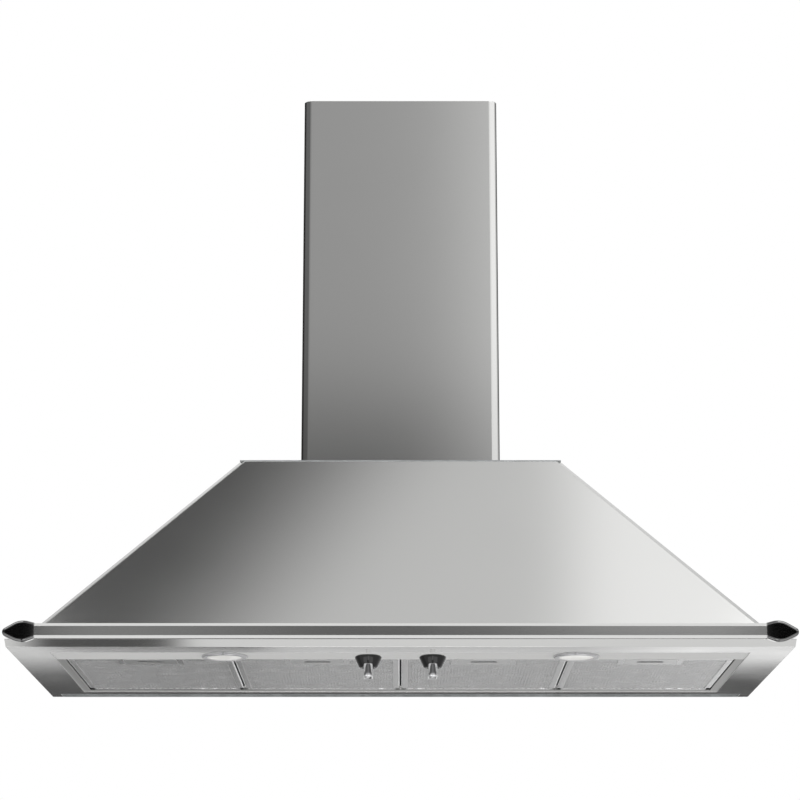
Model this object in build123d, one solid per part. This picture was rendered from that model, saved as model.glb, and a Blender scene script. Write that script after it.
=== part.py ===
from build123d import *
import math
import os

# A wall mount range hood: a pyramid canopy on a flat base frame, a telescopic chimney cover, a utensil
# rail with corner caps, four swing-down grease filters, two lamps, two knobs and a blower inside.
# Millimetres. +X is to the right, +Y towards the wall and +Z up. The wall is the plane y = 0, the
# underside of the base frame is z = 0, and the origin lies on the centre line where the two meet.

# Sheet and general clearances
SHEET = 1.2
SLIDE_GAP = 0.3
RUNNING_GAP = 0.05
SCREW_RADIUS = 2.0
SCREW_HOLE_GAP = 0.1
SCREW_HEAD_RADIUS = 3.6
SCREW_HEAD_HEIGHT = 2.4
SCREW_LENGTH = 6.0
SCREW_HEAD_ROUND = 0.8

# Base frame
BASE_WIDTH = 1094.0
BASE_DEPTH = 500.0
BAND_HEIGHT = 11.0
BAND_LEAN = 2.0
FRONT_FLANGE = 52.0
SIDE_FLANGE = 57.5
REAR_FLANGE = 22.0
REAR_RECESS = 32.0
REAR_FOOT = 18.5
LEDGE = 50.0

# Canopy
CANOPY_INSET = 34.0
SKIRT_HEIGHT = 19.0
CANOPY_RISE = 289.0
CANOPY_TOP_WIDTH = 482.0
DECK_MARGIN = 10.0
CANOPY_FLANGE = 12.0
CANOPY_FRONT_SCREW_COUNT = 6
CANOPY_SIDE_SCREW_COUNT = 3
HIP_BEVEL = 7.0
DECK_THICKNESS = 1.5

# Chimney covers
CHIMNEY_WIDTH = 300.0
CHIMNEY_DEPTH = 250.0
CHIMNEY_HEIGHT = 578.5
CHIMNEY_EDGE_RADIUS = 12.0
CHIMNEY_RETURN = 15.0
CHIMNEY_FLANGE = 14.0
CHIMNEY_GAP = 0.8
CHIMNEY_FRONT_SCREW_COUNT = 2
CHIMNEY_SIDE_SCREW_COUNT = 2
UPPER_COVER_DROP = 4.0
BRACKET_HEIGHT = 30.0
BRACKET_TAB = 40.0
BRACKET_THICKNESS = 1.5
BRACKET_DROP = 12.0
BRACKET_HOLE_SPACING = 200.0
BRACKET_HOLE_RADIUS = 3.25

# Utensil rail and corner caps
RAIL_HEIGHT = 22.0
RAIL_DEPTH = 14.0
RAIL_PROUD = 3.5
RAIL_BEVEL = 4.5
RAIL_WALL = 1.5
RAIL_SCREW_COUNT = 4
RAIL_SCREW_SETBACK = 6.2
CAP_ARM = 41.0
CAP_PROUD = 3.0
CAP_END_LIP = 0.2
CAP_SHOULDER_SETBACK = 25.0
CAP_SHOULDER_HEIGHT = 34.5
CAP_SHOULDER_RADIUS = 28.0
CAP_NOSE_HEIGHT = 7.8
CAP_NOSE_RADIUS = 6.0
CAP_DROP = 1.0
CAP_NOSE_DROP = 2.0
CAP_FRONT_ROUND = 4.0
CAP_REAR_BEVEL = 2.4
CAP_REAR_LIP = 2.0
CAP_SPIGOT = 14.0
CAP_SPIGOT_GAP = 0.2

# Underside sheets, lamps and knobs
PANEL_LAP = 14.0
STRIP_DEPTH = 70.0
PANEL_LIP = 8.0
BAY_LIP = 11.5
LAMP_SPACING = 497.0
LAMP_SETBACK = 89.0
LAMP_RADIUS = 32.5
LAMP_BARREL_RADIUS = 28.5
LAMP_LIP_RADIUS = 24.5
LAMP_PROUD = 3.4
LAMP_BARREL_HEIGHT = 9.0
LAMP_CAN_HEIGHT = 44.0
LAMP_LENS_THICKNESS = 2.0
LAMP_BULB_RADIUS = 6.0
KNOB_SPACING = 91.0
KNOB_SETBACK = 88.0
KNOB_TOP_RADIUS = 18.2
KNOB_RADIUS = 19.0
KNOB_TIP_RADIUS = 12.8
KNOB_RIM_HEIGHT = 2.6
KNOB_SKIRT_HEIGHT = 17.0
KNOB_HEIGHT = 31.5
KNOB_GRIP_WIDTH = 13.0
KNOB_GRIP_LENGTH = 32.0
KNOB_GRIP_ROUND = 2.6
SPINDLE_RADIUS = 3.0
SPINDLE_IN_KNOB = 11.0
SWITCH_SIZE = 34.0
SWITCH_HEIGHT = 22.0
SWITCH_EDGE_RADIUS = 3.0
SWITCH_BORE_DEPTH = 18.0

# Grease filters
FILTER_COUNT = 4
FILTER_GAP = 2.0
FILTER_THICKNESS = 9.0
FILTER_RAIL = 9.5
FILTER_EDGE_RADIUS = 2.5
FILTER_RECESS = 0.4
FILTER_FRONT_GAP = 2.0
FILTER_REAR_GAP = 2.5
FILTER_NOTCH = 7.0
FILTER_NOTCH_LENGTH = 20.0
MESH_INSET = 1.5
TONGUE_LENGTH = 10.0
TONGUE_WIDTH = 34.0
TONGUE_THICKNESS = 2.0
TONGUE_SPACING = 120.0
LATCH_WIDTH = 75.0
LATCH_LENGTH = 38.0
LATCH_THICKNESS = 1.8
LATCH_TRAVEL = 5.0
LATCH_WING = 3.0
LATCH_BOLT_WIDTH = 30.0
LATCH_BOLT_LENGTH = 20.0
LATCH_BOLT_THICKNESS = 3.0
LATCH_TRAY_WALL = 6.0
FINGER_SLOT_WIDTH = 39.0
FINGER_SLOT_LENGTH = 14.0
FINGER_SLOT_SETBACK = 21.0

# Outlet collar and back-draught flaps
COLLAR_RADIUS = 74.5
COLLAR_HEIGHT = 60.0
COLLAR_FLANGE_RADIUS = 92.0
COLLAR_WALL = 1.2
COLLAR_SCREW_COUNT = 4
FLAP_LEVEL = 30.0
FLAP_THICKNESS = 1.5
FLAP_RIM_GAP = 1.0
FLAP_SEAT_WIDTH = 3.5
FLAP_SEAT_HEIGHT = 2.5
FLAP_PIN_RADIUS = 2.0
KNUCKLE_RADIUS = 4.0
KNUCKLE_GAP = 0.5
KNUCKLE_LENGTH = 39.0

# Blower
BLOWER_LEVEL = 165.0
SCROLL_RADIUS = 88.0
SCROLL_STEP = 12.0
SCROLL_LIP = 6.0
SCROLL_WIDTH = 160.0
SCROLL_WALL = 1.5
SCROLL_FLANGE = 18.0
SCROLL_FLANGE_THICKNESS = 2.0
BLOWER_SCREW_SPACING = 80.0
DECK_ORIFICE_RADIUS = 56.0
INLET_RADIUS = 55.0
IMPELLER_RADIUS = 74.0
IMPELLER_WIDTH = 124.0
IMPELLER_RING = 13.0
IMPELLER_RING_THICKNESS = 3.0
IMPELLER_DISC = 3.0
BLADE_TIP_INSET = 0.5
IMPELLER_HUB_RADIUS = 14.0
IMPELLER_HUB_LENGTH = 12.0
BLADE_COUNT = 36
BLADE_THICKNESS = 1.0
BLADE_BOW = 11.0
SHAFT_RADIUS = 4.0
SHAFT_IN_MOTOR = 52.0
MOTOR_RADIUS = 40.0
MOTOR_CAP_RADIUS = 30.0
MOTOR_CAP_LENGTH = 12.0
MOTOR_CLEARANCE = 8.0
MOTOR_EDGE_RADIUS = 3.0
SPIDER_THICKNESS = 2.5
SPIDER_RIM = 9.0
SPIDER_ARM_WIDTH = 11.0
SPIDER_ARM_COUNT = 3

# Back panel fixings and wiring
WALL_HOLE_RADIUS = 4.25
WALL_HOLE_SPACING_X = 400.0
WALL_HOLE_SPACING_Z = 80.0
WALL_HOLE_LEVEL = 130.0
JUNCTION_BOX_WIDTH = 100.0
JUNCTION_BOX_DEPTH = 40.0
JUNCTION_BOX_HEIGHT = 60.0
JUNCTION_BOX_X = 150.0
JUNCTION_BOX_LEVEL = 190.0
JUNCTION_BOX_RADIUS = 4.0
GLAND_INSET = 36.0
GLAND_RADIUS = 8.0
GLAND_NUT_RADIUS = 12.0
GLAND_BORE_RADIUS = 4.0
GLAND_NUT_HEIGHT = 9.0
GLAND_LOCK_NUT_HEIGHT = 4.5
GLAND_ABOVE = 17.0
GLAND_BELOW = 9.0
GLAND_NUT_SIDE_COUNT = 6

# Levels and faces worked out from the sizes above
HALF_WIDTH = BASE_WIDTH / 2
FRONT = -BASE_DEPTH
BACK = -SHEET
CANOPY_HALF = HALF_WIDTH - CANOPY_INSET
CANOPY_FRONT = FRONT + CANOPY_INSET
CANOPY_TOP_DEPTH = CHIMNEY_DEPTH + DECK_MARGIN
SKIRT_TOP = BAND_HEIGHT + SKIRT_HEIGHT
CANOPY_TOP = SKIRT_TOP + CANOPY_RISE
DECK_TOP = CANOPY_TOP + DECK_THICKNESS
RAIL_MIDDLE = BAND_HEIGHT + RAIL_HEIGHT / 2
RAIL_FRONT = FRONT - RAIL_PROUD
MOUTH_HALF = HALF_WIDTH - SIDE_FLANGE
MOUTH_FRONT = FRONT + FRONT_FLANGE
MOUTH_REAR = -REAR_RECESS - REAR_FLANGE
PANEL_BOTTOM = SHEET
PANEL_TOP = 2 * SHEET
BAY_HALF = MOUTH_HALF - BAY_LIP
BAY_FRONT = MOUTH_FRONT + STRIP_DEPTH
BAY_REAR = MOUTH_REAR - BAY_LIP
FILTER_PITCH = 2 * BAY_HALF / FILTER_COUNT
FILTER_WIDTH = FILTER_PITCH - FILTER_GAP
FILTER_FRONT = BAY_FRONT + FILTER_FRONT_GAP
FILTER_REAR = BAY_REAR - FILTER_REAR_GAP
FILTER_BOTTOM = PANEL_BOTTOM + FILTER_RECESS
FILTER_TOP = FILTER_BOTTOM + FILTER_THICKNESS
FILTER_CENTRES = [(i - (FILTER_COUNT - 1) / 2) * FILTER_PITCH for i in range(FILTER_COUNT)]
BOLT_BOTTOM = PANEL_TOP + SLIDE_GAP
LAMP_Y = FRONT + LAMP_SETBACK
KNOB_Y = FRONT + KNOB_SETBACK
KNOB_TOP = PANEL_BOTTOM - SLIDE_GAP
OUTLET_Y = -CHIMNEY_DEPTH / 2
GLAND_X = CHIMNEY_WIDTH / 2 - GLAND_INSET
GLAND_Y = -CHIMNEY_DEPTH + GLAND_INSET
COLLAR_INNER = COLLAR_RADIUS - COLLAR_WALL
FLAP_AXIS = DECK_TOP + FLAP_LEVEL
COVER_BOTTOM = DECK_TOP
COVER_TOP = COVER_BOTTOM + CHIMNEY_HEIGHT
UPPER_WIDTH = CHIMNEY_WIDTH - 2 * (SHEET + CHIMNEY_GAP)
UPPER_BACK = -SHEET - CHIMNEY_GAP
UPPER_DEPTH = CHIMNEY_DEPTH - SHEET - CHIMNEY_GAP + UPPER_BACK
UPPER_BOTTOM = COVER_BOTTOM + SHEET
UPPER_TOP = COVER_TOP - UPPER_COVER_DROP
SCROLL_NECK = SCROLL_RADIUS + 3 * SCROLL_STEP - SCROLL_LIP
BLOWER_Y = OUTLET_Y + SCROLL_STEP / 2 - SCROLL_LIP - SCROLL_NECK / 2
SCREW_HOLE = SCREW_RADIUS + SCREW_HOLE_GAP


# Plain shapes

def block(x, y, z):
    """Box between a low and a high limit on each axis."""
    corner = Box(x[1] - x[0], y[1] - y[0], z[1] - z[0], align=(Align.MIN, Align.MIN, Align.MIN))
    return Pos(x[0], y[0], z[0]) * corner


def drum(x, y, radius, z):
    """Upright cylinder between two levels."""
    upright = Cylinder(radius, z[1] - z[0], align=(Align.CENTER, Align.CENTER, Align.MIN))
    return Pos(x, y, z[0]) * upright


def drum_along_x(y, z, radius, x):
    """Cylinder along X between two limits."""
    lying = Cylinder(radius, x[1] - x[0], align=(Align.CENTER, Align.CENTER, Align.MIN))
    return Pos(x[0], y, z) * Rot(0, 90, 0) * lying


def drum_along_y(x, z, radius, y):
    """Cylinder along Y between two limits."""
    lying = Cylinder(radius, y[1] - y[0], align=(Align.CENTER, Align.CENTER, Align.MIN))
    return Pos(x, y[0], z) * Rot(-90, 0, 0) * lying


def pan_screw(length):
    """Pan head screw along Z: the head's seat at z = 0, the shank below it."""
    head = Cylinder(SCREW_HEAD_RADIUS, SCREW_HEAD_HEIGHT, align=(Align.CENTER, Align.CENTER, Align.MIN))
    head = fillet(head.edges().group_by(Axis.Z)[-1], SCREW_HEAD_ROUND)
    shank = Cylinder(SCREW_RADIUS, length, align=(Align.CENTER, Align.CENTER, Align.MAX))
    return head + shank


def screws(places, length=SCREW_LENGTH):
    """Group of equal pan head screws, one at each place."""
    return Compound([place * pan_screw(length) for place in places])


def screw_holes(places):
    """Clearance holes for screws at the same places, through the sheets below their heads."""
    cutter = Cylinder(SCREW_HOLE, 2 * SCREW_LENGTH)
    return [place * cutter for place in places]


def eased_front(half, front, back, size, ease=fillet):
    """Flat rectangle between a front and a back line, with its two front corners rounded or bevelled."""
    outline = Pos(0, (front + back) / 2) * Rectangle(2 * half, back - front)
    return ease(outline.vertices().group_by(Axis.Y)[0], size)


# Screw places, shared by the screws and the holes that they go through

def ring_places(half, front, count_front, count_side, rear, level, flip=False):
    """Places on a U of three sides: evenly along the front, then along both sides."""
    turn = Rot(180, 0, 0) if flip else Rot(0, 0, 0)
    places = []
    for i in range(count_front):
        share = (i + 0.5) / count_front
        places.append(Pos(-half + 2 * half * share, front, level) * turn)
    for i in range(count_side):
        share = (i + 0.5) / count_side
        y = front + (rear - front) * share
        places.append(Pos(-half, y, level) * turn)
        places.append(Pos(half, y, level) * turn)
    return places


RAIL_SCREWS = ring_places(
    HALF_WIDTH - CAP_ARM, FRONT + RAIL_SCREW_SETBACK, RAIL_SCREW_COUNT, 0, BACK, BAND_HEIGHT - SHEET,
    flip=True)
CANOPY_SCREWS = ring_places(
    CANOPY_HALF - SHEET - CANOPY_FLANGE / 2, CANOPY_FRONT + SHEET + CANOPY_FLANGE / 2,
    CANOPY_FRONT_SCREW_COUNT, CANOPY_SIDE_SCREW_COUNT, BACK, BAND_HEIGHT + SHEET)
COVER_SCREWS = ring_places(
    CHIMNEY_WIDTH / 2 - SHEET - CHIMNEY_FLANGE / 2, -CHIMNEY_DEPTH + SHEET + CHIMNEY_FLANGE / 2,
    CHIMNEY_FRONT_SCREW_COUNT, CHIMNEY_SIDE_SCREW_COUNT, BACK, COVER_BOTTOM + SHEET)
BLOWER_SCREWS = [
    Pos(side * (SCROLL_WIDTH + SCROLL_FLANGE) / 2, OUTLET_Y + end * BLOWER_SCREW_SPACING / 2, DECK_TOP)
    for side in (-1, 1) for end in (-1, 1)]
COLLAR_SCREWS = [
    Pos(0, OUTLET_Y, DECK_TOP + COLLAR_WALL) * place
    for place in PolarLocations((COLLAR_RADIUS + COLLAR_FLANGE_RADIUS) / 2, COLLAR_SCREW_COUNT)]
BRACKET_SCREWS = [
    Pos(side * (UPPER_WIDTH / 2 - CHIMNEY_RETURN / 2), UPPER_BACK - SHEET - BRACKET_THICKNESS,
        UPPER_TOP - BRACKET_DROP - BRACKET_HEIGHT / 2) * Rot(90, 0, 0)
    for side in (-1, 1)]


# Base frame: one folded channel ring with an open rear recess between two feet

def band_block(inset, back, z):
    """Block between two levels, inset from the band, with its leaning front and sides."""
    outlines = []
    for level in z:
        lean = inset + BAND_LEAN * (1 - level / BAND_HEIGHT)
        front = FRONT + lean
        outlines.append(Pos(0, (front + back) / 2, level) * Rectangle(2 * (HALF_WIDTH - lean), back - front))
    return loft(outlines, ruled=True)


def base_frame():
    inner = BAND_HEIGHT - SHEET
    body = band_block(0, BACK, (0, BAND_HEIGHT))
    foot_inner = HALF_WIDTH - REAR_FOOT
    body -= block((-foot_inner, foot_inner), (-REAR_RECESS, 0), (-SHEET, inner))
    body -= band_block(SHEET, -REAR_RECESS - SHEET, (SHEET, inner))
    foot_half = foot_inner + SHEET
    between_feet = block((-foot_half, foot_half), (FRONT, 0), (0, inner))
    body -= band_block(SHEET, BACK - SHEET, (SHEET, inner)) - between_feet
    body -= block((-MOUTH_HALF, MOUTH_HALF), (MOUTH_FRONT, MOUTH_REAR), (-SHEET, inner))
    well_half = HALF_WIDTH - LEDGE
    body -= block((-well_half, well_half), (FRONT + LEDGE, MOUTH_REAR), (SHEET, BAND_HEIGHT + SHEET))
    return body - screw_holes(RAIL_SCREWS + CANOPY_SCREWS)


# Underside sheets: the lamp strip in front of the filter bay, and the surround on its other sides

PANEL_LEVEL = (PANEL_BOTTOM, PANEL_TOP)
PANEL_CUT = (0, PANEL_TOP + SHEET)
LAP_HALF = MOUTH_HALF + PANEL_LAP


def lamp_strip():
    """Strip that carries the lamps and knobs, with an upright lip that has a gate for each filter's bolt."""
    strip = block((-LAP_HALF, LAP_HALF), (MOUTH_FRONT - PANEL_LAP, BAY_FRONT), PANEL_LEVEL)
    strip += block((-BAY_HALF, BAY_HALF), (BAY_FRONT - SHEET, BAY_FRONT), (PANEL_TOP, PANEL_TOP + PANEL_LIP))
    gate = LATCH_BOLT_WIDTH / 2 + FILTER_GAP
    for centre in FILTER_CENTRES:
        strip -= block(
            (centre - gate, centre + gate), (BAY_FRONT - 2 * SHEET, BAY_FRONT + SHEET),
            (PANEL_TOP, FILTER_TOP))
    for side in (-1, 1):
        strip -= drum(side * LAMP_SPACING / 2, LAMP_Y, LAMP_BARREL_RADIUS + SCREW_HOLE_GAP, PANEL_CUT)
        strip -= drum(side * KNOB_SPACING / 2, KNOB_Y, SPINDLE_RADIUS + SLIDE_GAP, PANEL_CUT)
    return strip


def bay_surround():
    sheet = block((-LAP_HALF, LAP_HALF), (BAY_FRONT, MOUTH_REAR + PANEL_LAP), PANEL_LEVEL)
    return sheet - block((-BAY_HALF, BAY_HALF), (BAY_FRONT, BAY_REAR), PANEL_LEVEL)


# Canopy, back panel and deck

def canopy_body(inset, back):
    """Solid of the canopy's outline, moved inwards by a sheet thickness and run to a back plane."""
    run_front = -CANOPY_TOP_DEPTH - CANOPY_FRONT
    run_side = CANOPY_HALF - CANOPY_TOP_WIDTH / 2
    lean_front = inset * math.hypot(CANOPY_RISE, run_front) / CANOPY_RISE
    lean_side = inset * math.hypot(CANOPY_RISE, run_side) / CANOPY_RISE
    bevel = HIP_BEVEL - inset * (2 - math.sqrt(2))
    foot = eased_front(CANOPY_HALF - inset, CANOPY_FRONT + inset, back, bevel, chamfer)
    skirt = extrude(Pos(0, 0, BAND_HEIGHT) * foot, SKIRT_HEIGHT)
    top_half = CANOPY_TOP_WIDTH / 2
    low = eased_front(CANOPY_HALF - lean_side, CANOPY_FRONT + lean_front, back, bevel, chamfer)
    high = eased_front(top_half - lean_side, -CANOPY_TOP_DEPTH + lean_front, back, bevel, chamfer)
    slope = loft([Pos(0, 0, SKIRT_TOP) * low, Pos(0, 0, CANOPY_TOP) * high], ruled=True)
    return skirt + slope


def canopy_flange(half, front, z):
    """Inward flange along the front and both sides."""
    outer = block((-half, half), (front, BACK), z)
    return outer - block(
        (-half + CANOPY_FLANGE, half - CANOPY_FLANGE), (front + CANOPY_FLANGE, 0), z)


def canopy_shell():
    shell = canopy_body(0, BACK) - canopy_body(SHEET, SHEET)
    shell += canopy_flange(CANOPY_HALF - SHEET, CANOPY_FRONT + SHEET, (BAND_HEIGHT, BAND_HEIGHT + SHEET))
    shell += canopy_flange(
        CANOPY_TOP_WIDTH / 2 - SHEET, -CANOPY_TOP_DEPTH + SHEET, (CANOPY_TOP - SHEET, CANOPY_TOP))
    return shell - screw_holes(CANOPY_SCREWS)


def wall_hole_places():
    return [
        (x * WALL_HOLE_SPACING_X / 2, WALL_HOLE_LEVEL + z * WALL_HOLE_SPACING_Z / 2)
        for x in (-1, 1) for z in (-1, 1)]


def back_panel():
    corners = [
        (HALF_WIDTH - BAND_LEAN, 0), (HALF_WIDTH, BAND_HEIGHT), (CANOPY_HALF, BAND_HEIGHT),
        (CANOPY_HALF, SKIRT_TOP), (CANOPY_TOP_WIDTH / 2, CANOPY_TOP), (CANOPY_TOP_WIDTH / 2, DECK_TOP)]
    outline = corners + [(-x, z) for x, z in reversed(corners)]
    panel = extrude(Plane.XZ * make_face(Polyline(*outline, close=True)), SHEET)
    for x, z in wall_hole_places():
        panel -= drum_along_y(x, z, WALL_HOLE_RADIUS, (-2 * SHEET, SHEET))
    return panel


def top_deck():
    half = CANOPY_TOP_WIDTH / 2
    deck = block((-half, half), (-CANOPY_TOP_DEPTH, BACK), (CANOPY_TOP, DECK_TOP))
    deck -= drum(0, OUTLET_Y, DECK_ORIFICE_RADIUS, (CANOPY_TOP - SHEET, DECK_TOP + SHEET))
    deck -= drum(GLAND_X, GLAND_Y, GLAND_RADIUS, (CANOPY_TOP - SHEET, DECK_TOP + SHEET))
    return deck - screw_holes(BLOWER_SCREWS + COLLAR_SCREWS + COVER_SCREWS)


# Utensil rail: a bevelled tube along the front, closed by a cap at each corner

def rail_face(inset):
    """Section of the rail, outer side towards -X, centred on its height at x = 0 on the outer face."""
    bevel = RAIL_BEVEL - inset * (2 - math.sqrt(2))
    low = -RAIL_HEIGHT / 2 + inset
    high = RAIL_HEIGHT / 2 - inset
    rear = RAIL_DEPTH - inset
    return make_face(Polyline(
        (inset, low + bevel), (inset, high - bevel), (inset + bevel, high), (rear, high), (rear, low),
        (inset + bevel, low), close=True))


RAIL_SECTION = Plane(origin=(0, RAIL_FRONT, RAIL_MIDDLE), x_dir=(0, 1, 0), z_dir=(1, 0, 0))


def front_rail():
    tube = RAIL_SECTION * (rail_face(0) - rail_face(RAIL_WALL))
    return extrude(tube, HALF_WIDTH - CAP_ARM, both=True) - screw_holes(RAIL_SCREWS)


CAP_CORNER = (HALF_WIDTH + CAP_PROUD, RAIL_FRONT - CAP_PROUD, RAIL_MIDDLE)
CAP_FACE = Plane(origin=CAP_CORNER, x_dir=(-1, 0, 0), z_dir=(0, 1, 0))


def cap_outline():
    """Front outline of a cap: a rounded lozenge from its nose at x = 0 to its end against the rail."""
    end = CAP_ARM + CAP_PROUD
    end_half = RAIL_HEIGHT / 2 + CAP_END_LIP
    shoulder_half = CAP_SHOULDER_HEIGHT / 2
    nose_half = CAP_NOSE_HEIGHT / 2
    outline = make_face(Polyline(
        (0, nose_half - CAP_NOSE_DROP), (CAP_SHOULDER_SETBACK, shoulder_half - CAP_DROP), (end, end_half),
        (end, -end_half), (CAP_SHOULDER_SETBACK, -shoulder_half - CAP_DROP), (0, -nose_half - CAP_NOSE_DROP),
        close=True))
    columns = outline.vertices().group_by(Axis.X)
    outline = fillet(columns[1], CAP_SHOULDER_RADIUS)
    noses = outline.vertices().group_by(Axis.X)[0]
    return fillet(noses, CAP_NOSE_RADIUS)


def cap_rim(cap, end):
    """Edges round the cap's front (end 0) or rear (end -1) face, without the one against the rail."""
    face = cap.faces().filter_by(Axis.Y).sort_by(Axis.Y)[end]
    return face.edges().sort_by(Axis.X)[1:]


def right_corner_cap():
    """Rounded lozenge that plugs the rail's end, stands on the ledge and hangs over the band's corner."""
    cap = extrude(CAP_FACE * cap_outline(), CAP_PROUD + RAIL_DEPTH + CAP_REAR_LIP)
    cap = fillet(cap_rim(cap, 0), CAP_FRONT_ROUND)
    cap = chamfer(cap_rim(cap, -1), CAP_REAR_BEVEL)
    cap -= block((0, HALF_WIDTH), (FRONT, 0), (-BAND_HEIGHT, BAND_HEIGHT))
    plug = rail_face(RAIL_WALL + CAP_SPIGOT_GAP)
    return cap + extrude(RAIL_SECTION.offset(HALF_WIDTH - CAP_ARM) * plug, -CAP_SPIGOT)


# Chimney covers: folded U shapes with rounded front edges and narrow returns at the wall

def cover(width, depth, back, radius, z):
    """Open-backed upright cover between two levels."""
    outer = eased_front(width / 2, back - depth, back, radius)
    inner = eased_front(width / 2 - SHEET, back - depth + SHEET, back - SHEET, radius - SHEET)
    gap = Pos(0, back) * Rectangle(width - 2 * CHIMNEY_RETURN, 4 * SHEET)
    return Pos(0, 0, z[0]) * extrude(outer - inner - gap, z[1] - z[0])


def lower_chimney():
    body = cover(CHIMNEY_WIDTH, CHIMNEY_DEPTH, 0, CHIMNEY_EDGE_RADIUS, (COVER_BOTTOM, COVER_TOP))
    half = CHIMNEY_WIDTH / 2 - SHEET
    front = -CHIMNEY_DEPTH + SHEET
    level = (COVER_BOTTOM, COVER_BOTTOM + SHEET)
    outline = eased_front(half, front, BACK, CHIMNEY_EDGE_RADIUS - SHEET)
    flange = extrude(Pos(0, 0, COVER_BOTTOM) * outline, SHEET)
    flange -= block((-half + CHIMNEY_FLANGE, half - CHIMNEY_FLANGE), (front + CHIMNEY_FLANGE, 0), level)
    return body + flange - screw_holes(COVER_SCREWS)


def upper_chimney():
    radius = CHIMNEY_EDGE_RADIUS - SHEET - CHIMNEY_GAP
    body = cover(UPPER_WIDTH, UPPER_DEPTH, UPPER_BACK, radius, (UPPER_BOTTOM, UPPER_TOP))
    return body - screw_holes(BRACKET_SCREWS)


def chimney_bracket():
    half = UPPER_WIDTH / 2 - SHEET
    rear = UPPER_BACK - SHEET
    level = (UPPER_TOP - BRACKET_DROP - BRACKET_HEIGHT, UPPER_TOP - BRACKET_DROP)
    strap = block((-half, half), (rear - BRACKET_TAB, rear), level)
    strap -= block(
        (-half + BRACKET_THICKNESS, half - BRACKET_THICKNESS),
        (rear - 2 * BRACKET_TAB, rear - BRACKET_THICKNESS), level)
    middle = sum(level) / 2
    for side in (-1, 1):
        hole_x = side * BRACKET_HOLE_SPACING / 2
        strap -= drum_along_y(hole_x, middle, BRACKET_HOLE_RADIUS, (rear - 2 * BRACKET_THICKNESS, 0))
    return strap - screw_holes(BRACKET_SCREWS)


# Outlet collar with two back-draught flaps on one pin

def outlet_collar():
    collar = drum(0, OUTLET_Y, COLLAR_RADIUS, (DECK_TOP, DECK_TOP + COLLAR_HEIGHT))
    collar += drum(0, OUTLET_Y, COLLAR_FLANGE_RADIUS, (DECK_TOP, DECK_TOP + COLLAR_WALL))
    collar -= drum(0, OUTLET_Y, COLLAR_INNER, (DECK_TOP, DECK_TOP + COLLAR_HEIGHT))
    seat_top = FLAP_AXIS - FLAP_THICKNESS / 2 - SLIDE_GAP
    seat = (seat_top - FLAP_SEAT_HEIGHT, seat_top)
    collar += drum(0, OUTLET_Y, COLLAR_INNER, seat) - drum(0, OUTLET_Y, COLLAR_INNER - FLAP_SEAT_WIDTH, seat)
    reach = COLLAR_RADIUS + SHEET
    collar -= drum_along_y(0, FLAP_AXIS, FLAP_PIN_RADIUS, (OUTLET_Y - reach, OUTLET_Y + reach))
    return collar - screw_holes(COLLAR_SCREWS)


def flap_pin():
    reach = COLLAR_INNER + COLLAR_WALL / 2
    return drum_along_y(0, FLAP_AXIS, FLAP_PIN_RADIUS, (OUTLET_Y - reach, OUTLET_Y + reach))


def flap(side, knuckles):
    """Half disc on one side of the pin, with a knuckle over each given stretch of it."""
    thickness = (FLAP_AXIS - FLAP_THICKNESS / 2, FLAP_AXIS + FLAP_THICKNESS / 2)
    radius = COLLAR_INNER - FLAP_RIM_GAP
    root = KNUCKLE_RADIUS + KNUCKLE_GAP
    half = block(sorted((side * root, side * radius)), (OUTLET_Y - radius, OUTLET_Y + radius), thickness)
    plate = drum(0, OUTLET_Y, radius, thickness) & half
    for start, end in knuckles:
        stretch = (OUTLET_Y + start, OUTLET_Y + end)
        plate += block(sorted((0, side * (root + KNUCKLE_GAP))), stretch, thickness)
        plate += drum_along_y(0, FLAP_AXIS, KNUCKLE_RADIUS, stretch)
    return plate - drum_along_y(
        0, FLAP_AXIS, FLAP_PIN_RADIUS + RUNNING_GAP, (OUTLET_Y - radius, OUTLET_Y + radius))


def left_flap():
    return flap(-1, [(-KNUCKLE_LENGTH / 2, KNUCKLE_LENGTH / 2)])


def right_flap():
    start = KNUCKLE_LENGTH / 2 + KNUCKLE_GAP
    return flap(1, [(start, start + KNUCKLE_LENGTH), (-start - KNUCKLE_LENGTH, -start)])


# Blower: a spiral housing with an inlet on each side, a drum impeller and a motor in its right inlet

BLOWER_SECTION = Plane(origin=(0, BLOWER_Y, BLOWER_LEVEL), x_dir=(0, 1, 0), z_dir=(1, 0, 0))


def scroll_face(inset, top):
    """Spiral of three quarter arcs that runs into an upright neck, drawn a wall thickness inside."""
    step = SCROLL_STEP / 2
    first = SCROLL_RADIUS - inset
    second = first + SCROLL_STEP
    third = second + SCROLL_STEP
    lip = SCROLL_LIP - step + inset
    crown = first - step
    return make_face([
        Line((lip, top), (lip, crown)),
        Line((lip, crown), (-step, crown)),
        CenterArc((-step, -step), first, 90, 90),
        CenterArc((step, -step), second, 180, 90),
        CenterArc((step, step), third, 270, 90),
        Line((step + third, step), (step + third, top)),
        Line((step + third, top), (lip, top))])


def blower_housing():
    top = CANOPY_TOP - BLOWER_LEVEL
    outer = extrude(BLOWER_SECTION * scroll_face(0, top), SCROLL_WIDTH / 2, both=True)
    hollow_half = SCROLL_WIDTH / 2 - SCROLL_WALL
    hollow = extrude(BLOWER_SECTION * scroll_face(SCROLL_WALL, top), hollow_half, both=True)
    flange_half_x = SCROLL_WIDTH / 2 + SCROLL_FLANGE
    flange_half_y = SCROLL_NECK / 2
    outer += block(
        (-flange_half_x, flange_half_x), (OUTLET_Y - flange_half_y, OUTLET_Y + flange_half_y),
        (CANOPY_TOP - SCROLL_FLANGE_THICKNESS, CANOPY_TOP))
    inlet = drum_along_x(BLOWER_Y, BLOWER_LEVEL, INLET_RADIUS, (-SCROLL_WIDTH, SCROLL_WIDTH))
    return outer - hollow - inlet - screw_holes(BLOWER_SCREWS + COLLAR_SCREWS)


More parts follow.
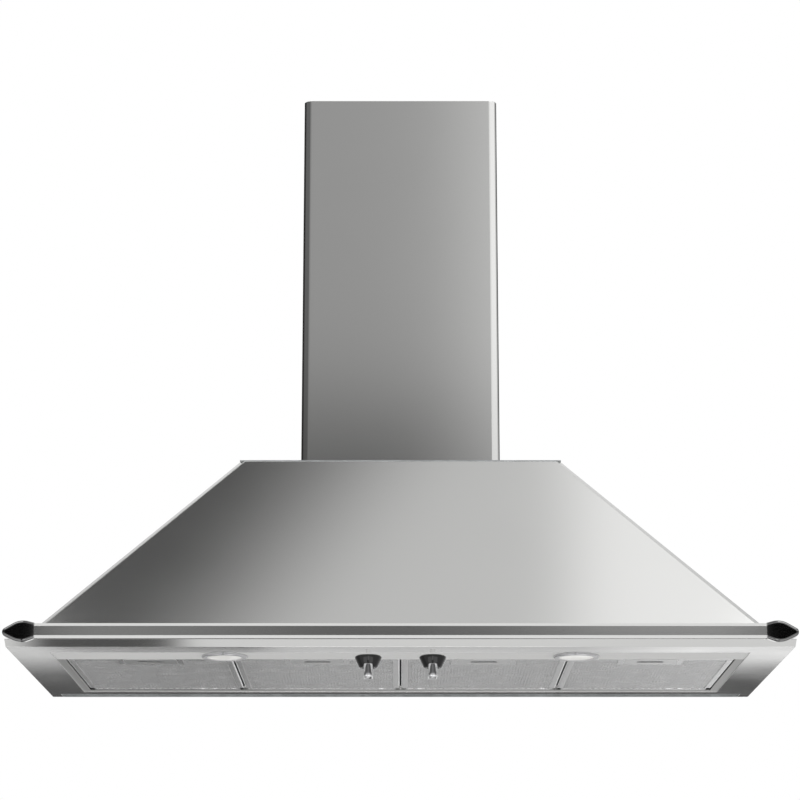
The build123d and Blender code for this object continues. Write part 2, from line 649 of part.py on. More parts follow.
def motor_spider():
    plane = BLOWER_SECTION.offset(SCROLL_WIDTH / 2)
    ring = Circle(INLET_RADIUS + SPIDER_RIM) - Circle(INLET_RADIUS)
    arm = Rectangle(INLET_RADIUS + SPIDER_RIM / 2, SPIDER_ARM_WIDTH, align=(Align.MIN, Align.CENTER))
    sketch = ring + Circle(MOTOR_CAP_RADIUS)
    for place in PolarLocations(0, SPIDER_ARM_COUNT, start_angle=90):
        sketch += place * arm
    return extrude(plane * sketch, SPIDER_THICKNESS)


def blower_motor():
    end = SCROLL_WIDTH / 2
    start = IMPELLER_DISC / 2 + MOTOR_CLEARANCE
    body = drum_along_x(
        BLOWER_Y, BLOWER_LEVEL, MOTOR_RADIUS, (start + MOTOR_CAP_LENGTH, end - MOTOR_CAP_LENGTH))
    body = fillet(body.edges(), MOTOR_EDGE_RADIUS)
    body += drum_along_x(BLOWER_Y, BLOWER_LEVEL, MOTOR_CAP_RADIUS, (start, end))
    bore = SHAFT_RADIUS + RUNNING_GAP
    return body - drum_along_x(
        BLOWER_Y, BLOWER_LEVEL, bore, (start - SHEET, start + SHAFT_IN_MOTOR + SHEET))


def motor_shaft():
    start = IMPELLER_DISC / 2 - IMPELLER_HUB_LENGTH
    end = IMPELLER_DISC / 2 + MOTOR_CLEARANCE + SHAFT_IN_MOTOR
    return drum_along_x(BLOWER_Y, BLOWER_LEVEL, SHAFT_RADIUS, (start, end))


def impeller():
    inner = IMPELLER_RADIUS - IMPELLER_RING
    disc = extrude(BLOWER_SECTION * Circle(IMPELLER_RADIUS - IMPELLER_RING / 2), IMPELLER_DISC / 2, both=True)
    lean = math.radians(360 / BLADE_COUNT)
    tip_radius = IMPELLER_RADIUS - BLADE_TIP_INSET
    tip = (tip_radius * math.cos(lean), tip_radius * math.sin(lean))
    root = (inner + BLADE_TIP_INSET, 0)
    blade = trace(RadiusArc(root, tip, BLADE_BOW), BLADE_THICKNESS)
    blades = Sketch() + [place * blade for place in PolarLocations(0, BLADE_COUNT)]
    half_blade = IMPELLER_WIDTH / 2 - IMPELLER_RING_THICKNESS / 2
    drum_of_blades = extrude(BLOWER_SECTION * blades, half_blade, both=True)
    ring = Circle(IMPELLER_RADIUS) - Circle(inner)
    wheel = disc + drum_of_blades
    for side in (-1, 1):
        place = BLOWER_SECTION.offset(side * IMPELLER_WIDTH / 2)
        wheel += extrude(place * ring, -side * IMPELLER_RING_THICKNESS)
    hub = (IMPELLER_DISC / 2 - IMPELLER_HUB_LENGTH, IMPELLER_DISC / 2)
    wheel += drum_along_x(BLOWER_Y, BLOWER_LEVEL, IMPELLER_HUB_RADIUS, hub)
    return wheel - drum_along_x(BLOWER_Y, BLOWER_LEVEL, SHAFT_RADIUS, hub)


# Grease filters, all alike, built at x = 0 and moved to their bays

LATCH_FRONT = FILTER_FRONT + LATCH_TRAVEL + SLIDE_GAP
LATCH_TOP = FILTER_BOTTOM + LATCH_THICKNESS
TRAY_HALF = LATCH_WIDTH / 2 + LATCH_WING + LATCH_TRAY_WALL
TRAY_REAR = LATCH_FRONT + LATCH_LENGTH + LATCH_TRAY_WALL
SLOT_MIDDLE = LATCH_FRONT + FINGER_SLOT_SETBACK


def filter_frame():
    """Four butted rails: rounded sides, a rear with hinge tongues and a front with the latch tray."""
    half = FILTER_WIDTH / 2
    window = half - FILTER_RAIL
    level = (FILTER_BOTTOM, FILTER_TOP)
    rail = block((window, half), (FILTER_FRONT, FILTER_REAR), level)
    lower_edges = rail.edges().filter_by(Axis.Y).group_by(Axis.Z)[0]
    rail = fillet(lower_edges.sort_by(Axis.X)[-1], FILTER_EDGE_RADIUS)
    rail -= block((half - FILTER_NOTCH, half), (FILTER_REAR - FILTER_NOTCH_LENGTH, FILTER_REAR), level)
    rear = block((-window, window), (FILTER_REAR - FILTER_RAIL, FILTER_REAR), level)
    for side in (-1, 1):
        tongue_x = side * TONGUE_SPACING / 2
        rear += block(
            (tongue_x - TONGUE_WIDTH / 2, tongue_x + TONGUE_WIDTH / 2),
            (FILTER_REAR - FILTER_RAIL, FILTER_REAR + TONGUE_LENGTH),
            (BOLT_BOTTOM, BOLT_BOTTOM + TONGUE_THICKNESS))
    front = block((-window, window), (FILTER_FRONT, FILTER_FRONT + FILTER_RAIL), level)
    front += block((-TRAY_HALF, TRAY_HALF), (FILTER_FRONT, TRAY_REAR), level)
    return Compound([rail, mirror(rail, Plane.YZ), rear, front - latch_room()])


def latch_room():
    """Space that the latch slides in: plate recess, wing grooves, and ways for bolt and finger."""
    plate_half = LATCH_WIDTH / 2 + SLIDE_GAP
    wing_half = plate_half + LATCH_WING
    rear = LATCH_FRONT + LATCH_LENGTH + SLIDE_GAP
    ceiling = LATCH_TOP + SLIDE_GAP
    room = block((-plate_half, plate_half), (FILTER_FRONT - SHEET, rear), (0, ceiling))
    groove_bottom = FILTER_BOTTOM + LATCH_THICKNESS / 2 - SLIDE_GAP
    room += block((-wing_half, wing_half), (FILTER_FRONT - SHEET, rear), (groove_bottom, ceiling))
    bolt_half = LATCH_BOLT_WIDTH / 2 + SLIDE_GAP
    room += block(
        (-bolt_half, bolt_half), (FILTER_FRONT - SHEET, FILTER_FRONT + LATCH_BOLT_LENGTH + 2 * SLIDE_GAP),
        (FILTER_BOTTOM, BOLT_BOTTOM + LATCH_BOLT_THICKNESS + SLIDE_GAP))
    slot_half = FINGER_SLOT_WIDTH / 2
    slot_reach = FINGER_SLOT_LENGTH / 2
    room += block(
        (-slot_half, slot_half), (SLOT_MIDDLE - slot_reach - LATCH_TRAVEL, SLOT_MIDDLE + slot_reach),
        (FILTER_BOTTOM, FILTER_TOP))
    return room


def filter_latch():
    half = LATCH_WIDTH / 2
    rear = LATCH_FRONT + LATCH_LENGTH
    latch = block((-half, half), (LATCH_FRONT, rear), (FILTER_BOTTOM, LATCH_TOP))
    middle = FILTER_BOTTOM + LATCH_THICKNESS / 2
    latch += block((-half - LATCH_WING, half + LATCH_WING), (LATCH_FRONT, rear), (middle, LATCH_TOP))
    bolt_half = LATCH_BOLT_WIDTH / 2
    latch += block(
        (-bolt_half, bolt_half), (FILTER_FRONT + SLIDE_GAP, FILTER_FRONT + SLIDE_GAP + LATCH_BOLT_LENGTH),
        (BOLT_BOTTOM, BOLT_BOTTOM + LATCH_BOLT_THICKNESS))
    slot = Pos(0, SLOT_MIDDLE, FILTER_BOTTOM) * SlotOverall(FINGER_SLOT_WIDTH, FINGER_SLOT_LENGTH)
    return latch - extrude(slot, 2 * LATCH_THICKNESS)


def filter_mesh():
    window = FILTER_WIDTH / 2 - FILTER_RAIL
    pad = block(
        (-window, window), (FILTER_FRONT + FILTER_RAIL, FILTER_REAR - FILTER_RAIL),
        (FILTER_BOTTOM + MESH_INSET, FILTER_TOP - MESH_INSET))
    return pad - block((-TRAY_HALF, TRAY_HALF), (FILTER_FRONT, TRAY_REAR), (0, FILTER_TOP))


# Lamps and knobs, built at x = 0 and moved to their places

def lamp_bezel():
    bottom = PANEL_BOTTOM - LAMP_PROUD
    ring = drum(0, LAMP_Y, LAMP_RADIUS, (bottom, PANEL_BOTTOM))
    ring = fillet(ring.edges().group_by(Axis.Z)[0], LAMP_PROUD / 2)
    ring += drum(0, LAMP_Y, LAMP_BARREL_RADIUS, (PANEL_BOTTOM, PANEL_BOTTOM + LAMP_BARREL_HEIGHT))
    ring -= drum(0, LAMP_Y, LAMP_BARREL_RADIUS - SHEET, (bottom + SHEET, PANEL_BOTTOM + LAMP_BARREL_HEIGHT))
    return ring - drum(0, LAMP_Y, LAMP_LIP_RADIUS, (bottom, PANEL_BOTTOM))


def lamp_lens():
    bottom = PANEL_BOTTOM - LAMP_PROUD + SHEET
    radius = LAMP_BARREL_RADIUS - SHEET - SCREW_HOLE_GAP
    return drum(0, LAMP_Y, radius, (bottom, bottom + LAMP_LENS_THICKNESS))


def lamp_can():
    bottom = PANEL_BOTTOM - LAMP_PROUD + SHEET + LAMP_LENS_THICKNESS
    radius = LAMP_BARREL_RADIUS - SHEET - SCREW_HOLE_GAP
    can = drum(0, LAMP_Y, radius, (bottom, bottom + LAMP_CAN_HEIGHT))
    can = fillet(can.edges().group_by(Axis.Z)[-1], 2 * SHEET)
    return can - drum(0, LAMP_Y, radius - SHEET, (bottom, bottom + LAMP_CAN_HEIGHT - SHEET))


def lamp_bulb():
    top = PANEL_BOTTOM - LAMP_PROUD + LAMP_LENS_THICKNESS + LAMP_CAN_HEIGHT
    bottom = top - LAMP_CAN_HEIGHT / 2
    bulb = drum(0, LAMP_Y, LAMP_BULB_RADIUS, (bottom, top))
    return bulb + Pos(0, LAMP_Y, bottom) * Sphere(LAMP_BULB_RADIUS)


def knob():
    profile = make_face(Polyline(
        (0, 0), (KNOB_TOP_RADIUS, 0), (KNOB_RADIUS, -KNOB_RIM_HEIGHT), (KNOB_TIP_RADIUS, -KNOB_SKIRT_HEIGHT),
        (0, -KNOB_SKIRT_HEIGHT), close=True))
    skirt = revolve(Plane.XZ * profile, Axis.Z)
    grip_face = SlotOverall(KNOB_GRIP_LENGTH, KNOB_GRIP_WIDTH, rotation=90)
    grip = extrude(Pos(0, 0, -KNOB_HEIGHT) * grip_face, KNOB_HEIGHT)
    grip = fillet(grip.edges().group_by(Axis.Z)[0], KNOB_GRIP_ROUND)
    body = skirt + (grip & Pos(0, 0, -KNOB_HEIGHT / 2) * Cylinder(KNOB_RADIUS, KNOB_HEIGHT))
    body -= Cylinder(SPINDLE_RADIUS, 2 * SPINDLE_IN_KNOB)
    return Pos(0, KNOB_Y, KNOB_TOP) * body


def spindle():
    end = PANEL_TOP + SWITCH_BORE_DEPTH - SLIDE_GAP
    return drum(0, KNOB_Y, SPINDLE_RADIUS, (KNOB_TOP - SPINDLE_IN_KNOB, end))


def rotary_switch():
    half = SWITCH_SIZE / 2
    body = block((-half, half), (KNOB_Y - half, KNOB_Y + half), (PANEL_TOP, PANEL_TOP + SWITCH_HEIGHT))
    body = fillet(body.edges().filter_by(Axis.Z), SWITCH_EDGE_RADIUS)
    bore_z = (PANEL_TOP - SHEET, PANEL_TOP + SWITCH_BORE_DEPTH)
    return body - drum(0, KNOB_Y, SPINDLE_RADIUS + RUNNING_GAP, bore_z)


# Wiring: a junction box on the back panel and a gland where the lead leaves through the deck

def junction_box():
    box = block(
        (JUNCTION_BOX_X, JUNCTION_BOX_X + JUNCTION_BOX_WIDTH), (BACK - JUNCTION_BOX_DEPTH, BACK),
        (JUNCTION_BOX_LEVEL, JUNCTION_BOX_LEVEL + JUNCTION_BOX_HEIGHT))
    return fillet(box.edges().filter_by(Axis.Y), JUNCTION_BOX_RADIUS)


def cable_gland():
    hexagon = RegularPolygon(GLAND_NUT_RADIUS, GLAND_NUT_SIDE_COUNT)
    nut = extrude(Pos(GLAND_X, GLAND_Y, DECK_TOP) * hexagon, GLAND_NUT_HEIGHT)
    lock_nut = extrude(Pos(GLAND_X, GLAND_Y, CANOPY_TOP) * hexagon, -GLAND_LOCK_NUT_HEIGHT)
    reach = (CANOPY_TOP - GLAND_BELOW, DECK_TOP + GLAND_ABOVE)
    dome = drum(GLAND_X, GLAND_Y, GLAND_RADIUS, reach)
    dome = fillet(dome.edges().group_by(Axis.Z)[-1], GLAND_RADIUS - GLAND_BORE_RADIUS - SHEET)
    bore = drum(GLAND_X, GLAND_Y, GLAND_BORE_RADIUS, reach)
    return nut + dome + lock_nut - bore


# All pieces by node name

def pieces():
    nodes = {
        "base_frame": base_frame(),
        "lamp_strip": lamp_strip(),
        "bay_surround": bay_surround(),
        "canopy_shell": canopy_shell(),
        "back_panel": back_panel(),
        "top_deck": top_deck(),
        "front_rail": front_rail(),
        "lower_chimney": lower_chimney(),
        "upper_chimney": upper_chimney(),
        "chimney_bracket": chimney_bracket(),
        "outlet_collar": outlet_collar(),
        "flap_pin": flap_pin(),
        "left_flap": left_flap(),
        "right_flap": right_flap(),
        "blower_housing": blower_housing(),
        "motor_spider": motor_spider(),
        "blower_motor": blower_motor(),
        "motor_shaft": motor_shaft(),
        "impeller": impeller(),
        "junction_box": junction_box(),
        "cable_gland": cable_gland(),
        "rail_screws": screws(RAIL_SCREWS),
        "canopy_screws": screws(CANOPY_SCREWS),
        "deck_screws": screws(BLOWER_SCREWS + COLLAR_SCREWS),
        "chimney_screws": screws(COVER_SCREWS),
        "bracket_screws": screws(BRACKET_SCREWS, BRACKET_THICKNESS + SHEET),
    }
    cap = right_corner_cap()
    nodes["right_corner_cap"] = cap
    nodes["left_corner_cap"] = mirror(cap, Plane.YZ)
    for side, sign in (("left", -1), ("right", 1)):
        lamp = Pos(sign * LAMP_SPACING / 2, 0, 0)
        nodes[f"{side}_lamp_bezel"] = lamp * lamp_bezel()
        nodes[f"{side}_lamp_lens"] = lamp * lamp_lens()
        nodes[f"{side}_lamp_can"] = lamp * lamp_can()
        nodes[f"{side}_lamp_bulb"] = lamp * lamp_bulb()
        control = Pos(sign * KNOB_SPACING / 2, 0, 0)
        nodes[f"{side}_knob"] = control * knob()
        nodes[f"{side}_spindle"] = control * spindle()
        nodes[f"{side}_switch"] = control * rotary_switch()
    for number, centre in enumerate(FILTER_CENTRES, start=1):
        bay = Pos(centre, 0, 0)
        nodes[f"filter_{number}_frame"] = bay * filter_frame()
        nodes[f"filter_{number}_mesh"] = bay * filter_mesh()
        nodes[f"filter_{number}_latch"] = bay * filter_latch()
    return nodes


def main():
    os.makedirs("parts", exist_ok=True)
    for name, shape in pieces().items():
        export_step(shape, f"parts/{name}.step")


main()
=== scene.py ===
"""Looks of a wall mount range hood: a finish for every CAD node, modelled details and a studio."""

import logging
import math
from dataclasses import dataclass, field
from enum import Enum

import bmesh
import bpy
from mathutils import Matrix, Vector


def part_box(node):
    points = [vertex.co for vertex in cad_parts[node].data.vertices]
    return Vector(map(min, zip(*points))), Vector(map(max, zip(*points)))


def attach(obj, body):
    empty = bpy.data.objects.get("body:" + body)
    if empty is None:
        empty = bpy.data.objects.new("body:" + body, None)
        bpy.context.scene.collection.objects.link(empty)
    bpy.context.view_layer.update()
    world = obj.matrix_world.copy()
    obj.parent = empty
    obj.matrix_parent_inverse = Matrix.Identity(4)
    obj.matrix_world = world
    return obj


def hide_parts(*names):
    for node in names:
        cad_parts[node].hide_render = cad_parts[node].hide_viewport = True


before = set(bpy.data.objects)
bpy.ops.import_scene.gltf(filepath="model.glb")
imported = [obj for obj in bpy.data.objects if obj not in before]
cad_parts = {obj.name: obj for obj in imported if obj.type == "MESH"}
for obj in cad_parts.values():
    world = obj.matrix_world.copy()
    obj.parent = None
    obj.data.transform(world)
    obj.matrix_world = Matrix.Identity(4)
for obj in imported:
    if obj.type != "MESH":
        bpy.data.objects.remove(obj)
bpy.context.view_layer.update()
LOG = logging.getLogger("range_hood")

Colour = tuple[float, float, float]
Point = tuple[float, float, float]
Outline = list[tuple[float, float]]
Socket = bpy.types.NodeSocket
Sockets = bpy.types.bpy_prop_collection
SIDES = ("left", "right")
FILTER_NUMBERS = (1, 2, 3, 4)
# Points nearer to each other than this, in metres, count as one.
WELD = 1e-6


# Node wiring

class NodeSheet:
    """Adds nodes to a node tree and joins their sockets."""

    def __init__(self, tree: bpy.types.NodeTree) -> None:
        """Takes the tree to work on."""
        self.tree = tree

    def add(self, kind: str, **settings: object) -> bpy.types.Node:
        """Adds a node.

        Args:
            kind: Blender's type name of the node.
            settings: Properties to set on it.

        Returns:
            The new node.
        """
        node = self.tree.nodes.new(kind)
        for name, value in settings.items():
            setattr(node, name, value)
        return node

    def feed(self, target: Socket, source: Socket | float) -> None:
        """Joins a socket to an input, or sets the input to a plain number."""
        if isinstance(source, Socket):
            self.tree.links.new(source, target)
        else:
            target.default_value = source

    def math(self, operation: str, first: Socket | float, second: Socket | float = 0.0) -> Socket:
        """Adds a Math node.

        Args:
            operation: The operation's name.
            first: Its first operand.
            second: Its second operand.

        Returns:
            The result's socket.
        """
        node = self.add("ShaderNodeMath", operation=operation)
        self.feed(node.inputs[0], first)
        self.feed(node.inputs[1], second)
        return node.outputs[0]

    def ranged(self, value: Socket, source: tuple[float, float], target: tuple[float, float],
               smooth: bool = False) -> Socket:
        """Maps a value from one range to another, clamped.

        Args:
            value: The socket to map.
            source: Lowest and highest input.
            target: Outputs at those inputs.
            smooth: Whether the ends are eased.

        Returns:
            The mapped socket.
        """
        node = self.add("ShaderNodeMapRange", interpolation_type="SMOOTHSTEP" if smooth else "LINEAR")
        self.feed(node.inputs["Value"], value)
        limits = zip(("From Min", "From Max", "To Min", "To Max"), source + target)
        for name, limit in limits:
            node.inputs[name].default_value = limit
        return node.outputs["Result"]

    def blend(self, share: Socket, low: Colour, high: Colour) -> Socket:
        """Mixes two colours by a share and returns the colour's socket."""
        node = self.add("ShaderNodeMix", data_type="RGBA")
        self.feed(node.inputs["Factor"], share)
        node.inputs["A"].default_value = (*low, 1.0)
        node.inputs["B"].default_value = (*high, 1.0)
        return next(s for s in node.outputs if s.type == "RGBA")


class Pattern(Enum):
    """Shared surface patterns, each one a node group."""

    BRUSHED = "brushed_grain"
    MOULDED = "moulded_skin"
    SPANGLE = "zinc_spangle"
    MESH = "layered_mesh"


@dataclass
class PatternBook:
    """Builds each shared pattern once and hands out its node group."""

    groups: dict[Pattern, bpy.types.NodeTree] = field(default_factory=dict)

    def group(self, pattern: Pattern) -> bpy.types.NodeTree:
        """Returns the node group of a pattern, building it at its first use."""
        if pattern not in self.groups:
            makers = {
                Pattern.BRUSHED: self.brushed,
                Pattern.MOULDED: self.moulded,
                Pattern.SPANGLE: self.spangle,
                Pattern.MESH: self.mesh,
            }
            self.groups[pattern] = makers[pattern]()
        return self.groups[pattern]

    @staticmethod
    def blank(pattern: Pattern) -> tuple[bpy.types.NodeTree, NodeSheet, Socket, Sockets]:
        """Starts a group with a stretch input and two outputs, a fine grain and a slow cloud.

        Args:
            pattern: The pattern that the group is for.

        Returns:
            The group, its wiring sheet, the stretched object coordinates and the output node's inputs.
        """
        tree = bpy.data.node_groups.new(pattern.value, "ShaderNodeTree")
        tree.interface.new_socket("Stretch", in_out="INPUT", socket_type="NodeSocketVector")
        for name in ("Grain", "Cloud"):
            tree.interface.new_socket(name, in_out="OUTPUT", socket_type="NodeSocketFloat")
        sheet = NodeSheet(tree)
        source = sheet.add("NodeGroupInput")
        place = sheet.add("ShaderNodeTexCoord")
        stretched = sheet.add("ShaderNodeVectorMath", operation="MULTIPLY")
        sheet.feed(stretched.inputs[0], place.outputs["Object"])
        sheet.feed(stretched.inputs[1], source.outputs["Stretch"])
        result = sheet.add("NodeGroupOutput")
        return tree, sheet, stretched.outputs[0], result.inputs

    @staticmethod
    def noise(sheet: NodeSheet, place: Socket, scale: float, detail: float) -> Socket:
        """Adds a noise texture and returns its value."""
        node = sheet.add("ShaderNodeTexNoise")
        sheet.feed(node.inputs["Vector"], place)
        node.inputs["Scale"].default_value = scale
        node.inputs["Detail"].default_value = detail
        return node.outputs["Fac"]

    def brushed(self) -> bpy.types.NodeTree:
        """Fine scratches along one direction, and a slow cloud of handling marks."""
        tree, sheet, place, results = self.blank(Pattern.BRUSHED)
        plain = sheet.add("ShaderNodeTexCoord")
        sheet.feed(results["Grain"], self.noise(sheet, place, 1.0, 4.0))
        sheet.feed(results["Cloud"], self.noise(sheet, plain.outputs["Object"], 7.0, 2.0))
        return tree

    def moulded(self) -> bpy.types.NodeTree:
        """Fine texture of a moulded or lacquered skin, and a slow cloud."""
        tree, sheet, place, results = self.blank(Pattern.MOULDED)
        sheet.feed(results["Grain"], self.noise(sheet, place, 900.0, 2.0))
        sheet.feed(results["Cloud"], self.noise(sheet, place, 25.0, 2.0))
        return tree

    def spangle(self) -> bpy.types.NodeTree:
        """Crystal facets of a zinc coat, and a slow cloud."""
        tree, sheet, place, results = self.blank(Pattern.SPANGLE)
        facets = sheet.add("ShaderNodeTexVoronoi")
        sheet.feed(facets.inputs["Vector"], place)
        facets.inputs["Scale"].default_value = 95.0
        split = sheet.add("ShaderNodeSeparateColor")
        sheet.feed(split.inputs[0], facets.outputs["Color"])
        sheet.feed(results["Grain"], split.outputs[0])
        sheet.feed(results["Cloud"], self.noise(sheet, place, 12.0, 2.0))
        return tree

    def mesh(self) -> bpy.types.NodeTree:
        """Crossed strands of stacked mesh layers: 1 on a strand, 0 in a gap, with an uneven cloud."""
        tree, sheet, place, results = self.blank(Pattern.MESH)
        strands = []
        lean = math.radians(32)
        for turn in (lean, -lean):
            turned = sheet.add("ShaderNodeVectorRotate", rotation_type="Z_AXIS")
            sheet.feed(turned.inputs["Vector"], place)
            turned.inputs["Angle"].default_value = turn
            wave = sheet.add("ShaderNodeTexWave", bands_direction="X")
            sheet.feed(wave.inputs["Vector"], turned.outputs[0])
            wave.inputs["Scale"].default_value = 120.0
            wave.inputs["Distortion"].default_value = 1.5
            wave.inputs["Detail Scale"].default_value = 40.0
            strands.append(wave.outputs["Fac"])
        sheet.feed(results["Grain"], sheet.math("MAXIMUM", strands[0], strands[1]))
        sheet.feed(results["Cloud"], self.noise(sheet, place, 60.0, 3.0))
        return tree


# Finishes

COAT_ROUGHNESS = 0.02
LEAST_ROUGHNESS = 0.02
# Most values of a pattern lie between these.
PATTERN_RANGE = (0.3, 0.7)
WARM_WHITE = (1.0, 0.97, 0.92, 1.0)


@dataclass(frozen=True)
class Finish:
    """A surface finish: a drifting colour, a roughness that follows a pattern, and a soft edge.

    Attributes:
        name: The material's name.
        colour: Its mean colour.
        roughness: Its mean roughness.
        metallic: 1 for bare metal, 0 for plastic, glass and lacquer.
        pattern: The shared pattern that colour, roughness and relief follow.
        stretch: Scale of the pattern along each axis.
        drift: Share by which the colour varies.
        rough_spread: Amount by which the roughness varies.
        bump: Strength of the relief.
        bump_depth: Depth of the relief in metres.
        edge: Radius to which shading rounds the edges, in metres.
        ior: Index of refraction.
        coat: Weight of a clear coat.
        coat_ior: Index of refraction of that coat.
        glow: Strength of the light that it gives off.
    """

    name: str
    colour: Colour
    roughness: float
    metallic: float = 1.0
    pattern: Pattern = Pattern.BRUSHED
    stretch: Point = (1.0, 1.0, 1.0)
    drift: float = 0.06
    rough_spread: float = 0.04
    bump: float = 0.04
    bump_depth: float = 0.0002
    edge: float = 0.0
    ior: float = 1.5
    coat: float = 0.0
    coat_ior: float = 1.5
    glow: float = 0.0

    def material(self, book: PatternBook) -> bpy.types.Material:
        """Builds the finish as a material.

        Args:
            book: The shared patterns.

        Returns:
            The material.
        """
        material = bpy.data.materials.new(self.name)
        material.use_nodes = True
        sheet = NodeSheet(material.node_tree)
        shader = material.node_tree.nodes["Principled BSDF"]
        texture = sheet.add("ShaderNodeGroup", node_tree=book.group(self.pattern))
        texture.inputs["Stretch"].default_value = self.stretch
        grain, cloud = texture.outputs["Grain"], texture.outputs["Cloud"]
        shade = sheet.math("ADD", sheet.math("MULTIPLY", grain, 0.5), sheet.math("MULTIPLY", cloud, 0.5))
        low = tuple(c * (1.0 - self.drift) for c in self.colour)
        high = tuple(min(1.0, c * (1.0 + self.drift)) for c in self.colour)
        sheet.feed(shader.inputs["Base Color"], sheet.blend(shade, low, high))
        lowest = max(LEAST_ROUGHNESS, self.roughness - self.rough_spread)
        spread = (lowest, self.roughness + self.rough_spread)
        sheet.feed(shader.inputs["Roughness"], sheet.ranged(shade, PATTERN_RANGE, spread))
        shader.inputs["Metallic"].default_value = self.metallic
        shader.inputs["IOR"].default_value = self.ior
        shader.inputs["Coat Weight"].default_value = self.coat
        shader.inputs["Coat IOR"].default_value = self.coat_ior
        shader.inputs["Coat Roughness"].default_value = COAT_ROUGHNESS
        if self.glow:
            shader.inputs["Emission Color"].default_value = WARM_WHITE
            shader.inputs["Emission Strength"].default_value = self.glow
        relief = sheet.add("ShaderNodeBump")
        relief.inputs["Strength"].default_value = self.bump
        relief.inputs["Distance"].default_value = self.bump_depth
        sheet.feed(relief.inputs["Height"], grain)
        if self.edge:
            soft = sheet.add("ShaderNodeBevel", samples=6)
            soft.inputs["Radius"].default_value = self.edge
            sheet.feed(relief.inputs["Normal"], soft.outputs[0])
        sheet.feed(shader.inputs["Normal"], relief.outputs[0])
        return material


# Pattern scales that draw the grain out along one axis.
ALONG_X = (30.0, 2200.0, 2200.0)
ALONG_Y = (2200.0, 30.0, 2200.0)
ALONG_Z = (2200.0, 2200.0, 30.0)
STEEL: Colour = (0.70, 0.70, 0.69)


class HoodFinish(Enum):
    """Every finish on the hood."""

    CHIMNEY = Finish("chimney_steel", STEEL, 0.10, stretch=ALONG_Z, drift=0.02, rough_spread=0.008,
                     bump=0.012, edge=0.0006)
    CANOPY = Finish("canopy_steel", STEEL, 0.09, stretch=ALONG_X, drift=0.02, rough_spread=0.008,
                    bump=0.005, edge=0.0030)
    BAND = Finish("band_steel", (0.74, 0.74, 0.73), 0.045, stretch=ALONG_X, drift=0.02, rough_spread=0.015,
                  bump=0.003, edge=0.0009)
    STRIP = Finish("strip_steel", (0.97, 0.97, 0.96), 0.80, stretch=ALONG_X, drift=0.02, rough_spread=0.02,
                   bump=0.01, edge=0.0005)
    BAY = Finish("bay_steel", (0.64, 0.64, 0.63), 0.50, stretch=ALONG_X, drift=0.02, rough_spread=0.02,
                 bump=0.01, edge=0.0005)
    RAIL = Finish("rail_steel", STEEL, 0.10, stretch=ALONG_X, drift=0.02, rough_spread=0.02,
                  bump=0.02, edge=0.0004)
    GALVANISED = Finish("galvanised_sheet", (0.56, 0.58, 0.59), 0.42, pattern=Pattern.SPANGLE, drift=0.12,
                        bump=0.01)
    ZINC = Finish("zinc_screws", (0.60, 0.60, 0.58), 0.30, pattern=Pattern.MOULDED, edge=0.0003)
    CAP = Finish("cap_black", (0.003, 0.003, 0.003), 0.03, metallic=0.0, pattern=Pattern.MOULDED, drift=0.2,
                 rough_spread=0.01, bump=0.004, ior=1.8, coat=1.0, coat_ior=1.8)
    # Knob skirt: chrome whose colour is painted almost black, a painted dark reflection in place of the dark
    # room that the chrome would mirror.
    CHROME_PAINTED_DARK = Finish("chrome_with_painted_dark_reflection", (0.04, 0.04, 0.04), 0.08, pattern=Pattern.MOULDED, drift=0.04,
                         rough_spread=0.02, bump=0.005)
    CHROME = Finish("bright_chrome", (0.80, 0.80, 0.81), 0.05, pattern=Pattern.MOULDED, drift=0.02,
                    rough_spread=0.015, bump=0.005, edge=0.0004)
    LAMP_RING = Finish("lamp_ring", (0.56, 0.56, 0.57), 0.05, pattern=Pattern.MOULDED, drift=0.02,
                       rough_spread=0.015, bump=0.005, edge=0.0004)
    FILTER_FRAME = Finish("filter_rail", (0.82, 0.82, 0.82), 0.20, stretch=ALONG_Y, drift=0.03,
                          bump=0.02, edge=0.0006)
    FILTER_LATCH = Finish("latch_plate", (0.86, 0.86, 0.86), 0.30, stretch=ALONG_X, drift=0.03,
                          bump=0.02, edge=0.0004)
    FILTER_PAD = Finish("mesh_layers", (0.80, 0.80, 0.80), 0.34, pattern=Pattern.MESH, drift=0.35, bump=0.3,
                        bump_depth=0.001)
    FILTER_FACE = Finish("mesh_strands", (0.92, 0.92, 0.92), 0.26, pattern=Pattern.MOULDED, drift=0.05,
                         bump=0.02)
    LENS = Finish("lamp_glass", (0.93, 0.93, 0.92), 0.22, metallic=0.0, pattern=Pattern.MOULDED, drift=0.02,
                  bump=0.08, coat=0.6, glow=0.30)
    REFLECTOR = Finish("lamp_reflector", (0.82, 0.82, 0.81), 0.12, pattern=Pattern.MOULDED, drift=0.02)
    BULB = Finish("lamp_capsule", (0.95, 0.93, 0.88), 0.15, metallic=0.0, pattern=Pattern.MOULDED, drift=0.02)
    SHAFT = Finish("ground_shaft", (0.80, 0.80, 0.79), 0.16, stretch=ALONG_X, edge=0.0003)
    DUCT = Finish("duct_plastic", (0.045, 0.045, 0.05), 0.48, metallic=0.0, pattern=Pattern.MOULDED,
                  drift=0.15, bump=0.15, edge=0.0005)
    IMPELLER = Finish("impeller_plastic", (0.60, 0.60, 0.58), 0.45, metallic=0.0, pattern=Pattern.MOULDED,
                      bump=0.12)
    WIRING = Finish("wiring_plastic", (0.66, 0.66, 0.64), 0.50, metallic=0.0, pattern=Pattern.MOULDED,
                    bump=0.15, edge=0.0005)
    MOTOR = Finish("motor_lacquer", (0.06, 0.06, 0.065), 0.35, metallic=0.0, pattern=Pattern.MOULDED,
                   coat=0.4)


